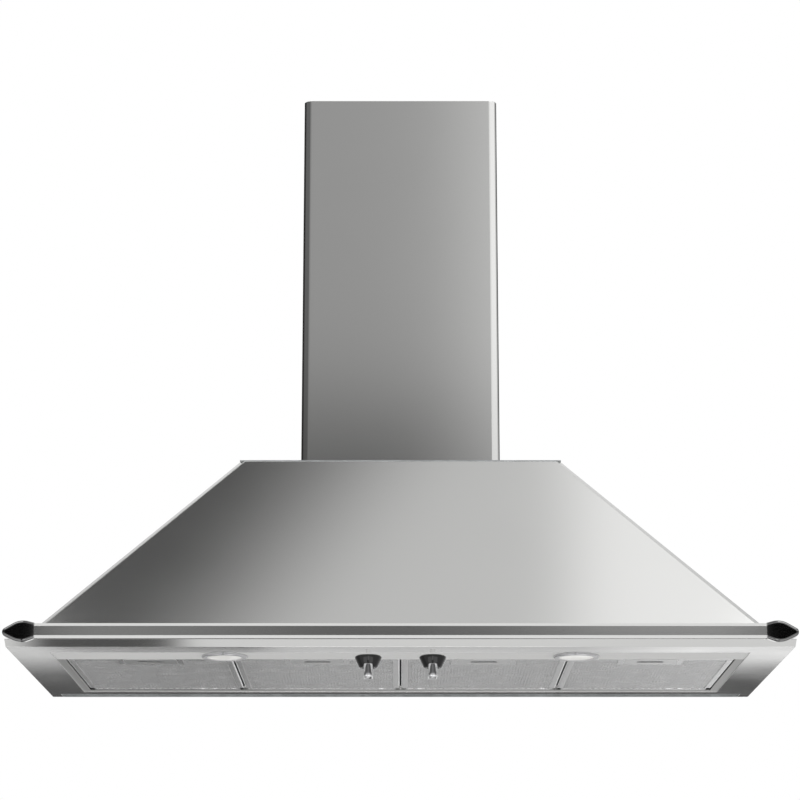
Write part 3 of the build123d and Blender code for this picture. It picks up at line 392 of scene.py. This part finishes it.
@dataclass
class Paintbox:
    """Makes each finish's material once."""

    book: PatternBook = field(default_factory=PatternBook)
    made: dict[HoodFinish, bpy.types.Material] = field(default_factory=dict)

    def get(self, finish: HoodFinish) -> bpy.types.Material:
        """Returns the material of a finish, building it at its first use."""
        if finish not in self.made:
            self.made[finish] = finish.value.material(self.book)
        return self.made[finish]

    def dress(self, finish: HoodFinish, *nodes: str) -> None:
        """Puts a finish on CAD nodes by name."""
        for name in nodes:
            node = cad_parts[name]
            node.data.materials.clear()
            node.data.materials.append(self.get(finish))
            LOG.info("node %s: %s", name, finish.value.name)


# Mesh helpers

def add_piece(name: str, shape: bmesh.types.BMesh, material: bpy.types.Material, body: str,
              smooth_angle: float = math.radians(35)) -> bpy.types.Object:
    """Turns a finished bmesh into a piece of the hood.

    Args:
        name: The piece's name.
        shape: Its shape in the hood's frame, freed here.
        material: Its material.
        body: The body that it rides on.
        smooth_angle: Edges sharper than this stay sharp.

    Returns:
        The new object.
    """
    bmesh.ops.remove_doubles(shape, verts=shape.verts, dist=WELD)
    bmesh.ops.recalc_face_normals(shape, faces=shape.faces)
    mesh = bpy.data.meshes.new(name)
    shape.to_mesh(mesh)
    shape.free()
    mesh.polygons.foreach_set("use_smooth", [True] * len(mesh.polygons))
    mesh.set_sharp_from_angle(angle=smooth_angle)
    mesh.materials.append(material)
    piece = bpy.data.objects.new(name, mesh)
    bpy.context.scene.collection.objects.link(piece)
    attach(piece, body)
    LOG.info("piece %s: %d faces on body %s", name, len(mesh.polygons), body)
    return piece


def spun(profile: Outline, centre: tuple[float, float], steps: int = 72) -> bmesh.types.BMesh:
    """Turns an outline round an upright axis.

    Args:
        profile: Radius and height of each corner, from one end of the axis to the other.
        centre: X and Y of the axis.
        steps: Number of steps in the full turn.

    Returns:
        The turned shape.
    """
    shape = bmesh.new()
    corners = [shape.verts.new((centre[0] + radius, centre[1], height)) for radius, height in profile]
    edges = [shape.edges.new(pair) for pair in zip(corners, corners[1:])]
    bmesh.ops.spin(shape, geom=corners + edges, cent=(*centre, 0.0), axis=(0.0, 0.0, 1.0),
                   dvec=(0.0, 0.0, 0.0), angle=2.0 * math.pi, steps=steps, use_merge=True)
    bmesh.ops.remove_doubles(shape, verts=shape.verts, dist=WELD)
    return shape


# The sheet metal and everything else that keeps its CAD shape

@dataclass
class HoodShell:
    """The nodes whose CAD shape is right: they only get their finishes."""

    paint: Paintbox

    def dress(self) -> None:
        """Puts a finish on every carried-over node."""
        dress = self.paint.dress
        dress(HoodFinish.CHIMNEY, "lower_chimney", "upper_chimney")
        dress(HoodFinish.CANOPY, "canopy_shell")
        dress(HoodFinish.BAND, "base_frame")
        dress(HoodFinish.STRIP, "lamp_strip")
        dress(HoodFinish.BAY, "bay_surround")
        dress(HoodFinish.RAIL, "front_rail")
        dress(HoodFinish.CAP, "left_corner_cap", "right_corner_cap")
        dress(HoodFinish.GALVANISED, "back_panel", "top_deck", "chimney_bracket", "blower_housing",
              "motor_spider")
        dress(HoodFinish.ZINC, "rail_screws", "canopy_screws", "deck_screws", "chimney_screws",
              "bracket_screws")
        dress(HoodFinish.DUCT, "outlet_collar", "left_flap", "right_flap")
        dress(HoodFinish.SHAFT, "flap_pin", "motor_shaft", "left_spindle", "right_spindle")
        dress(HoodFinish.MOTOR, "blower_motor")
        dress(HoodFinish.IMPELLER, "impeller")
        dress(HoodFinish.WIRING, "junction_box", "cable_gland", "left_switch", "right_switch")


# Grease filters

@dataclass
class GreaseFilters:
    """Four filters: CAD rails, latches and inner layers, with modelled sheets of expanded mesh."""

    paint: Paintbox
    cell_x: float = 0.0090
    cell_y: float = 0.0060
    strand: float = 0.0012
    thickness: float = 0.0006
    face_inset: float = 0.0009
    tray_margin: float = 0.0068

    def dress(self) -> None:
        """Puts the finishes on the filters' CAD nodes."""
        for number in FILTER_NUMBERS:
            self.paint.dress(HoodFinish.FILTER_FRAME, f"filter_{number}_frame")
            self.paint.dress(HoodFinish.FILTER_LATCH, f"filter_{number}_latch")
            self.paint.dress(HoodFinish.FILTER_PAD, f"filter_{number}_mesh")

    def lattice(self, low: Vector, high: Vector, level: float) -> bmesh.types.BMesh:
        """Makes a flat sheet of expanded mesh.

        Args:
            low: Lowest corner of the window.
            high: Highest corner of the window.
            level: Height of the sheet's underside.

        Returns:
            The sheet, with diamond gaps.
        """
        shape = bmesh.new()
        reach = (high.x - low.x) / self.cell_x + (high.y - low.y) / self.cell_y
        count = math.ceil(reach) + 2
        bmesh.ops.create_grid(shape, x_segments=count, y_segments=count, size=count / 2)
        turn = Matrix.Rotation(math.radians(45), 4, "Z")
        middle = (low + high) / 2
        shrink = Matrix.Diagonal((self.cell_x / math.sqrt(2), self.cell_y / math.sqrt(2), 1.0, 1.0))
        place = Matrix.Translation((middle.x, middle.y, level)) @ shrink @ turn
        bmesh.ops.transform(shape, matrix=place, verts=shape.verts)
        cuts = (
            (low, (-1.0, 0.0, 0.0)), (high, (1.0, 0.0, 0.0)),
            (low, (0.0, -1.0, 0.0)), (high, (0.0, 1.0, 0.0)))
        for corner, outward in cuts:
            everything = shape.verts[:] + shape.edges[:] + shape.faces[:]
            bmesh.ops.bisect_plane(shape, geom=everything, plane_co=corner, plane_no=outward,
                                   clear_outer=True)
        inset = bmesh.ops.inset_individual(shape, faces=shape.faces[:], thickness=self.strand / 2,
                                           use_even_offset=True)
        rims = set(inset["faces"])
        gaps = [face for face in shape.faces if face not in rims]
        bmesh.ops.delete(shape, geom=gaps, context="FACES")
        bmesh.ops.remove_doubles(shape, verts=shape.verts, dist=WELD)
        bmesh.ops.solidify(shape, geom=shape.faces[:], thickness=-self.thickness)
        return shape

    def build(self) -> None:
        """Adds the mesh on both sides of each filter's inner layers, beside its latch tray."""
        strands = self.paint.get(HoodFinish.FILTER_FACE)
        for number in FILTER_NUMBERS:
            low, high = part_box(f"filter_{number}_mesh")
            levels = {"face": low.z - self.face_inset, "back": high.z + self.face_inset - self.thickness}
            for side, level in levels.items():
                shape = self.lattice(low, high, level)
                self.clear_tray(shape, number)
                add_piece(f"filter_{number}_{side}", shape, strands, f"filter_{number}")

    def clear_tray(self, shape: bmesh.types.BMesh, number: int) -> None:
        """Cuts the sheet away where the latch tray stands.

        Args:
            shape: The sheet, changed in place.
            number: The filter's number.
        """
        low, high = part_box(f"filter_{number}_latch")
        left = low.x - self.tray_margin
        right = high.x + self.tray_margin
        rear = high.y + self.tray_margin
        across = Vector((1.0, 0.0, 0.0))
        along = Vector((0.0, 1.0, 0.0))
        for value, normal in ((left, across), (right, across), (rear, along)):
            everything = shape.verts[:] + shape.edges[:] + shape.faces[:]
            bmesh.ops.bisect_plane(shape, geom=everything, plane_co=normal * value, plane_no=normal)
        middles = {face: face.calc_center_median() for face in shape.faces}
        inside = [face for face, middle in middles.items() if left < middle.x < right and middle.y < rear]
        bmesh.ops.delete(shape, geom=inside, context="FACES")


# Lamps

@dataclass
class Lamps:
    """Two recessed lamps: CAD bezels, cans and bulbs, with a pressed glass lens each."""

    paint: Paintbox
    ring_count: int = 5
    ring_relief: float = 0.0004
    dome: float = 0.0009
    ringed_share: float = 0.88
    smooth_angle: float = math.radians(50)

    def dress(self) -> None:
        """Puts the finishes on the lamps' CAD nodes."""
        for side in SIDES:
            self.paint.dress(HoodFinish.LAMP_RING, f"{side}_lamp_bezel")
            self.paint.dress(HoodFinish.REFLECTOR, f"{side}_lamp_can")
            self.paint.dress(HoodFinish.BULB, f"{side}_lamp_bulb")

    def build(self) -> None:
        """Replaces each plain lens by a slightly domed one with pressed rings."""
        for side in SIDES:
            node = f"{side}_lamp_lens"
            low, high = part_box(node)
            centre = ((low.x + high.x) / 2, (low.y + high.y) / 2)
            radius = (high.x - low.x) / 2
            shape = spun(self.outline(radius, low.z, high.z), centre)
            glass = self.paint.get(HoodFinish.LENS)
            piece = add_piece(f"{side}_lamp_glass", shape, glass, "hood", self.smooth_angle)
            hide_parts(node)

    def outline(self, radius: float, bottom: float, top: float) -> Outline:
        """Returns the lens's outline from its lower middle, over the pressed rings, to its upper middle."""
        points = [(0.0, bottom - self.dome)]
        steps = 2 * self.ring_count
        ringed = self.ringed_share * radius
        for step in range(1, steps + 1):
            share = step / steps
            relief = self.ring_relief if step % 2 else 0.0
            points.append((ringed * share, bottom - self.dome * (1.0 - share ** 2) + relief))
        points += [(radius, bottom), (radius, top), (0.0, top)]
        return points


# Knobs

@dataclass
class Knobs:
    """Two turn knobs: a tapered chrome skirt with rounded rims, whose near-black colour is a painted dark
    reflection, and a bright bar grip with a pointer recess.
    """

    paint: Paintbox
    rim_round: float = 0.0012
    grip_width: float = 0.0130
    grip_length: float = 0.0320
    grip_sunk: float = 0.0040
    end_round_share: float = 0.45
    tip_round: float = 0.0022
    recess_inset: float = 0.0016
    recess_depth: float = 0.0005
    skirt_height: float = 0.0170
    waist_height: float = 0.0026
    top_radius: float = 0.0182
    tip_radius: float = 0.0128

    def build(self) -> None:
        """Replaces each CAD knob by a modelled skirt and grip of the same size."""
        for side in SIDES:
            node = f"{side}_knob"
            low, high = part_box(node)
            centre = ((low.x + high.x) / 2, (low.y + high.y) / 2)
            skirt = spun(self.skirt(high.z, (high.x - low.x) / 2), centre)
            # The skirt's near-black colour is a painted dark reflection, not the chrome's own colour.
            dark = self.paint.get(HoodFinish.CHROME_PAINTED_DARK)
            cone = add_piece(f"{side}_knob_skirt", skirt, dark, node)
            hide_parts(node)
            bar = self.grip(centre, high.z - self.skirt_height + self.grip_sunk, low.z)
            bright = self.paint.get(HoodFinish.CHROME)
            grip = add_piece(f"{side}_knob_grip", bar, bright, node)
            # The photograph's steel shows no mirror image of the knobs.
            cone.visible_glossy = False
            grip.visible_glossy = False

    def skirt(self, top: float, radius: float) -> Outline:
        """Returns the skirt's outline from its upper middle to its lower middle."""
        waist = top - self.waist_height
        tip = top - self.skirt_height
        ease = self.rim_round
        return [
            (0.0, top), (self.top_radius - ease, top), (self.top_radius, top - ease),
            (radius - ease / 3, waist + ease), (radius, waist), (radius - ease / 3, waist - ease),
            (self.tip_radius + ease / 4, tip + ease), (self.tip_radius - ease, tip),
            (self.tip_radius - 3 * ease, tip), (self.tip_radius - 4 * ease, tip + ease), (0.0, tip + ease)]

    def grip(self, centre: tuple[float, float], top: float, bottom: float) -> bmesh.types.BMesh:
        """Makes a bar grip with round ends, a rounded tip and a shallow recess along it.

        Args:
            centre: X and Y of the knob's axis.
            top: Height at which the grip starts, inside the skirt.
            bottom: Height of its tip.

        Returns:
            The grip.
        """
        shape = bmesh.new()
        size = Matrix.Diagonal((self.grip_width, self.grip_length, top - bottom, 1.0))
        place = Matrix.Translation((*centre, (top + bottom) / 2)) @ size
        bmesh.ops.create_cube(shape, size=1.0, matrix=place)
        upright = [edge for edge in shape.edges if abs(edge.verts[0].co.z - edge.verts[1].co.z) > WELD]
        bmesh.ops.bevel(shape, geom=upright, offset=self.grip_width * self.end_round_share, affect="EDGES",
                        segments=6, profile=0.5, material=-1)
        rim = {edge for face in self.tip_faces(shape, bottom) for edge in face.edges}
        bmesh.ops.bevel(shape, geom=list(rim), offset=self.tip_round, affect="EDGES",
                        segments=4, profile=0.5, material=-1)
        tip = self.tip_faces(shape, bottom)
        bmesh.ops.inset_region(shape, faces=tip, thickness=self.recess_inset, depth=0.0)
        floor = list({vert for face in tip for vert in face.verts})
        bmesh.ops.translate(shape, vec=(0.0, 0.0, self.recess_depth), verts=floor)
        return shape

    @staticmethod
    def tip_faces(shape: bmesh.types.BMesh, bottom: float) -> list[bmesh.types.BMFace]:
        """Returns the flat faces at the grip's tip."""
        return [face for face in shape.faces if all(abs(vert.co.z - bottom) < WELD for vert in face.verts)]


# Studio

class MirrorRoom:
    """What polished metal sees of the studio: a level of light for each direction.

    Ranges of x, y and z are parts of a unit direction from the hood. Levels are strengths of light,
    where 1 is white.
    """

    def __init__(self, sheet: NodeSheet) -> None:
        """Splits the direction into its axes.

        Args:
            sheet: The world's wiring.
        """
        place = sheet.add("ShaderNodeTexCoord")
        axes = sheet.add("ShaderNodeSeparateXYZ")
        sheet.feed(axes.inputs[0], place.outputs["Generated"])
        self.sheet = sheet
        self.x, self.y, self.z = axes.outputs

    def step(self, value: Socket, low: float, high: float) -> Socket:
        """Returns an eased step from 0 at one value to 1 at another."""
        return self.sheet.ranged(value, (low, high), (0.0, 1.0), smooth=True)

    def window(self, value: Socket, low: float, high: float, ease: float) -> Socket:
        """Returns 1 between two values and 0 outside them, with eased ends."""
        rise = self.step(value, low - ease, low)
        fall = self.sheet.ranged(value, (high, high + ease), (1.0, 0.0), smooth=True)
        return self.sheet.math("MULTIPLY", rise, fall)

    def mix(self, share: Socket, low: Socket | float, high: Socket | float) -> Socket:
        """Returns a value between two others by a share."""
        node = self.sheet.add("ShaderNodeMix", data_type="FLOAT")
        self.sheet.feed(node.inputs["Factor"], share)
        self.sheet.feed(node.inputs["A"], low)
        self.sheet.feed(node.inputs["B"], high)
        return node.outputs["Result"]

    def front_wall(self) -> Socket:
        """Wall behind the camera: dim low down, lighter above, dark far left and bright far right."""
        sheet = self.sheet
        aside = sheet.math("ABSOLUTE", self.x)
        skirting = sheet.ranged(aside, (0.02, 0.14), (0.14, 0.36))
        corners = sheet.ranged(aside, (0.17, 0.26), (0.004, 0.10))
        skirting = self.mix(self.step(aside, 0.1408, 0.1424), skirting, corners)
        height = sheet.ranged(self.z, (0.220, 0.274), (0.12, 0.40), smooth=True)
        right = sheet.ranged(self.x, (0.010, 0.060), (0.0, 0.48))
        height = sheet.math("ADD", height, sheet.ranged(aside, (0.10, 0.40), (0.0, 0.30)))
        upper = sheet.math("MAXIMUM", sheet.math("ADD", height, right), self.step(self.x, 0.040, 0.070))
        upper = sheet.math("MULTIPLY", upper, sheet.ranged(self.x, (-0.45, -0.06), (0.22, 1.0)))
        return self.mix(self.step(self.z, 0.170, 0.205), skirting, upper)

    def ceiling(self) -> Socket:
        """Ceiling in front of the hood: a slanting shade on the left and a light panel on the right."""
        sheet = self.sheet
        slant = sheet.math("SUBTRACT", self.x, sheet.math("MULTIPLY", sheet.math("ADD", self.y, 0.10), 0.78))
        shade = sheet.ranged(slant, (-0.062, 0.030), (0.09, 0.70), smooth=True)
        panel = sheet.ranged(self.x, (0.050, 0.085), (0.0, 0.42), smooth=True)
        far_left = sheet.ranged(self.x, (-0.60, -0.22), (0.45, 0.0))
        fall = sheet.ranged(self.y, (-0.04, 0.09), (1.0, 0.40), smooth=True)
        fall = sheet.math("MULTIPLY", fall, sheet.ranged(self.x, (0.16, 0.50), (1.0, 0.50)))
        shade = sheet.math("MULTIPLY", sheet.math("ADD", shade, panel), fall)
        return sheet.math("ADD", shade, far_left)

    def backdrop(self) -> Socket:
        """White wall behind the hood with dark sides."""
        sheet = self.sheet
        wall = sheet.ranged(self.z, (0.3, 0.9), (1.1, 1.0))
        low = sheet.ranged(self.z, (0.38, 0.43), (1.0, 0.0), smooth=True)
        left = sheet.ranged(self.x, (-0.30, -0.17), (1.0, 0.0), smooth=True)
        right = sheet.math("MULTIPLY", self.step(self.x, 0.17, 0.30), self.step(self.y, 0.50, 0.60))
        wall = self.mix(sheet.math("MULTIPLY", low, sheet.math("MAXIMUM", left, right)), wall, 0.06)
        sides = sheet.ranged(sheet.math("ABSOLUTE", self.x), (0.16, 0.50), (1.0, 0.5))
        return sheet.math("MULTIPLY", wall, sides)

    def corner_lamps(self) -> Socket:
        """Soft lamps above and below both corners of the hood, which draw the lines on its caps."""
        sheet = self.sheet
        aside = self.window(sheet.math("ABSOLUTE", self.x), 0.1425, 0.62, 0.002)
        above = sheet.math("MULTIPLY", self.window(self.y, -0.68, -0.20, 0.05), self.step(self.z, 0.66, 0.72))
        deep = self.window(self.z, -0.92, -0.56, 0.04)
        below = sheet.math("MULTIPLY", self.window(self.y, -0.80, -0.38, 0.05), deep)
        both = sheet.math("ADD", sheet.math("MULTIPLY", above, 2.6), sheet.math("MULTIPLY", below, 0.8))
        return sheet.math("MULTIPLY", aside, both)

    def knob_card(self) -> Socket:
        """Narrow bright card low in front, which draws a line on round upright pieces."""
        sheet = self.sheet
        tall = self.window(self.z, -0.70, -0.50, 0.05)
        narrow = self.window(self.x, -0.05, 0.05, 0.03)
        ahead = sheet.ranged(self.y, (-0.4, -0.3), (1.0, 0.0))
        card = sheet.math("MULTIPLY", sheet.math("MULTIPLY", tall, narrow), ahead)
        return sheet.math("MULTIPLY", card, 2.0)

    def floor(self) -> Socket:
        """Pale floor with a dark card on the left, dim towards its far edge, and lit below the front edge."""
        sheet = self.sheet
        card = self.window(self.x, -0.135, -0.095, 0.018)
        front = self.mix(card, 0.80, 0.10)
        deep = sheet.ranged(self.z, (-0.86, -0.80), (1.0, 0.0), smooth=True)
        front = self.mix(deep, front, 1.0)
        near = sheet.ranged(self.z, (-0.1562, -0.1548), (0.44, 0.86), smooth=True)
        plain = sheet.math("ADD", near, sheet.ranged(self.x, (0.07, 0.115), (0.0, 0.30)))
        dark = sheet.ranged(self.z, (-0.1560, -0.1545), (1.0, 0.0), smooth=True)
        shade = sheet.math("MULTIPLY", self.window(self.x, -0.125, -0.062, 0.020), dark)
        rear = self.mix(shade, plain, 0.02)
        rear = self.mix(self.window(self.z, -0.1455, -0.112, 0.007), rear, 0.08)
        return self.mix(self.step(self.y, -0.02, 0.02), front, rear)

    def level(self) -> Socket:
        """Joins the sides and the lamps into one level."""
        overhead = self.step(self.z, 0.36, 0.66)
        front = self.mix(overhead, self.front_wall(), self.ceiling())
        upper = self.mix(self.step(self.y, 0.02, 0.16), front, self.backdrop())
        room = self.mix(self.step(self.z, -0.05, 0.0), self.floor(), upper)
        lamps = self.sheet.math("ADD", self.corner_lamps(), self.knob_card())
        return self.sheet.math("ADD", room, lamps)


@dataclass
class Studio:
    """Camera, pale floor, soft lamps and a world that the metal mirrors."""

    eye: Point = (-0.0007, -3.9894, -0.5542)
    pitch: float = math.radians(14.551)
    lens: float = 114.743
    sensor: float = 36.0
    floor_level: float = -0.72
    floor_radius: float = 14.0
    floor_fade: tuple[float, float] = (2.5, 7.0)
    lamp_size: float = 2.4
    lamp_aim: Point = (0.0, -0.2, 0.3)
    diffuse_level: float = 0.75

    def build(self) -> None:
        """Sets up the whole studio."""
        self.add_camera()
        self.add_floor()
        self.add_lamps()
        self.add_world()
        bpy.context.scene.view_settings.view_transform = "Standard"

    def add_camera(self) -> None:
        """Adds the camera at the photograph's viewing angle."""
        data = bpy.data.cameras.new("view")
        data.lens = self.lens
        data.sensor_width = self.sensor
        data.clip_end = 100.0
        camera = bpy.data.objects.new("view", data)
        camera.location = self.eye
        camera.rotation_euler = (math.radians(90) + self.pitch, 0.0, 0.0)
        bpy.context.scene.collection.objects.link(camera)
        bpy.context.scene.camera = camera

    def add_floor(self) -> None:
        """Adds a pale floor that is clear from below."""
        shape = bmesh.new()
        bmesh.ops.create_circle(shape, cap_ends=True, segments=96, radius=self.floor_radius,
                                matrix=Matrix.Translation((0.0, 0.0, self.floor_level)))
        mesh = bpy.data.meshes.new("floor")
        shape.to_mesh(mesh)
        shape.free()
        floor = bpy.data.objects.new("floor", mesh)
        bpy.context.scene.collection.objects.link(floor)
        mesh.materials.append(self.floor_material())
        floor.visible_glossy = False

    def floor_material(self) -> bpy.types.Material:
        """Returns a pale matt material that fades out far away and is clear from below."""
        material = bpy.data.materials.new("pale_floor")
        material.use_nodes = True
        sheet = NodeSheet(material.node_tree)
        shader = material.node_tree.nodes["Principled BSDF"]
        shader.inputs["Base Color"].default_value = (0.86, 0.86, 0.85, 1.0)
        shader.inputs["Roughness"].default_value = 0.85
        clear = sheet.add("ShaderNodeBsdfTransparent")
        side = sheet.add("ShaderNodeNewGeometry")
        reach = sheet.add("ShaderNodeVectorMath", operation="LENGTH")
        sheet.feed(reach.inputs[0], side.outputs["Position"])
        far = sheet.ranged(reach.outputs["Value"], self.floor_fade, (0.0, 1.0), smooth=True)
        mix = sheet.add("ShaderNodeMixShader")
        sheet.feed(mix.inputs[0], sheet.math("MAXIMUM", side.outputs["Backfacing"], far))
        sheet.feed(mix.inputs[1], shader.outputs[0])
        sheet.feed(mix.inputs[2], clear.outputs[0])
        sheet.feed(material.node_tree.nodes["Material Output"].inputs["Surface"], mix.outputs[0])
        return material

    def add_lamps(self) -> None:
        """Adds a soft key lamp from the upper right and a fill from the left."""
        self.add_lamp("key", (2.4, -2.6, 3.0), 60.0)
        self.add_lamp("fill", (-2.8, -2.2, 1.2), 25.0)

    def add_lamp(self, name: str, place: Point, power: float) -> None:
        """Adds a square soft lamp aimed at the hood.

        Args:
            name: The lamp's name.
            place: Where it stands.
            power: Its power in watts.
        """
        data = bpy.data.lights.new(name, "AREA")
        data.energy = power
        data.size = self.lamp_size
        lamp = bpy.data.objects.new(name, data)
        lamp.location = place
        aim = Vector(self.lamp_aim) - Vector(place)
        lamp.rotation_euler = aim.to_track_quat("-Z", "Y").to_euler()
        lamp.visible_glossy = False
        bpy.context.scene.collection.objects.link(lamp)

    def add_world(self) -> None:
        """Adds a white world for the camera, a graded one for mirrors and a plain one for matt surfaces."""
        world = bpy.data.worlds.new("studio")
        bpy.context.scene.world = world
        world.use_nodes = True
        sheet = NodeSheet(world.node_tree)
        path = sheet.add("ShaderNodeLightPath")
        white = self.background(sheet, 1.0)
        plain = self.background(sheet, self.diffuse_level)
        graded = self.background(sheet, MirrorRoom(sheet).level())
        mirrors = sheet.math("MAXIMUM", path.outputs["Is Glossy Ray"], path.outputs["Is Transmission Ray"])
        first = sheet.add("ShaderNodeMixShader")
        sheet.feed(first.inputs[0], mirrors)
        sheet.feed(first.inputs[1], plain)
        sheet.feed(first.inputs[2], graded)
        second = sheet.add("ShaderNodeMixShader")
        sheet.feed(second.inputs[0], path.outputs["Is Camera Ray"])
        sheet.feed(second.inputs[1], first.outputs[0])
        sheet.feed(second.inputs[2], white)
        sheet.feed(world.node_tree.nodes["World Output"].inputs["Surface"], second.outputs[0])

    @staticmethod
    def background(sheet: NodeSheet, level: Socket | float) -> Socket:
        """Adds a white background of some level and returns its shader."""
        node = sheet.add("ShaderNodeBackground")
        node.inputs["Color"].default_value = (1.0, 1.0, 1.0, 1.0)
        sheet.feed(node.inputs["Strength"], level)
        return node.outputs[0]


def main() -> None:
    """Dresses the hood, adds its modelled pieces and sets up the studio."""
    logging.basicConfig(level=logging.INFO, format="%(name)s %(message)s")
    paint = Paintbox()
    HoodShell(paint).dress()
    filters = GreaseFilters(paint)
    filters.dress()
    filters.build()
    lamps = Lamps(paint)
    lamps.dress()
    lamps.build()
    Knobs(paint).build()
    Studio().build()


if __name__ == "__main__":
    main()
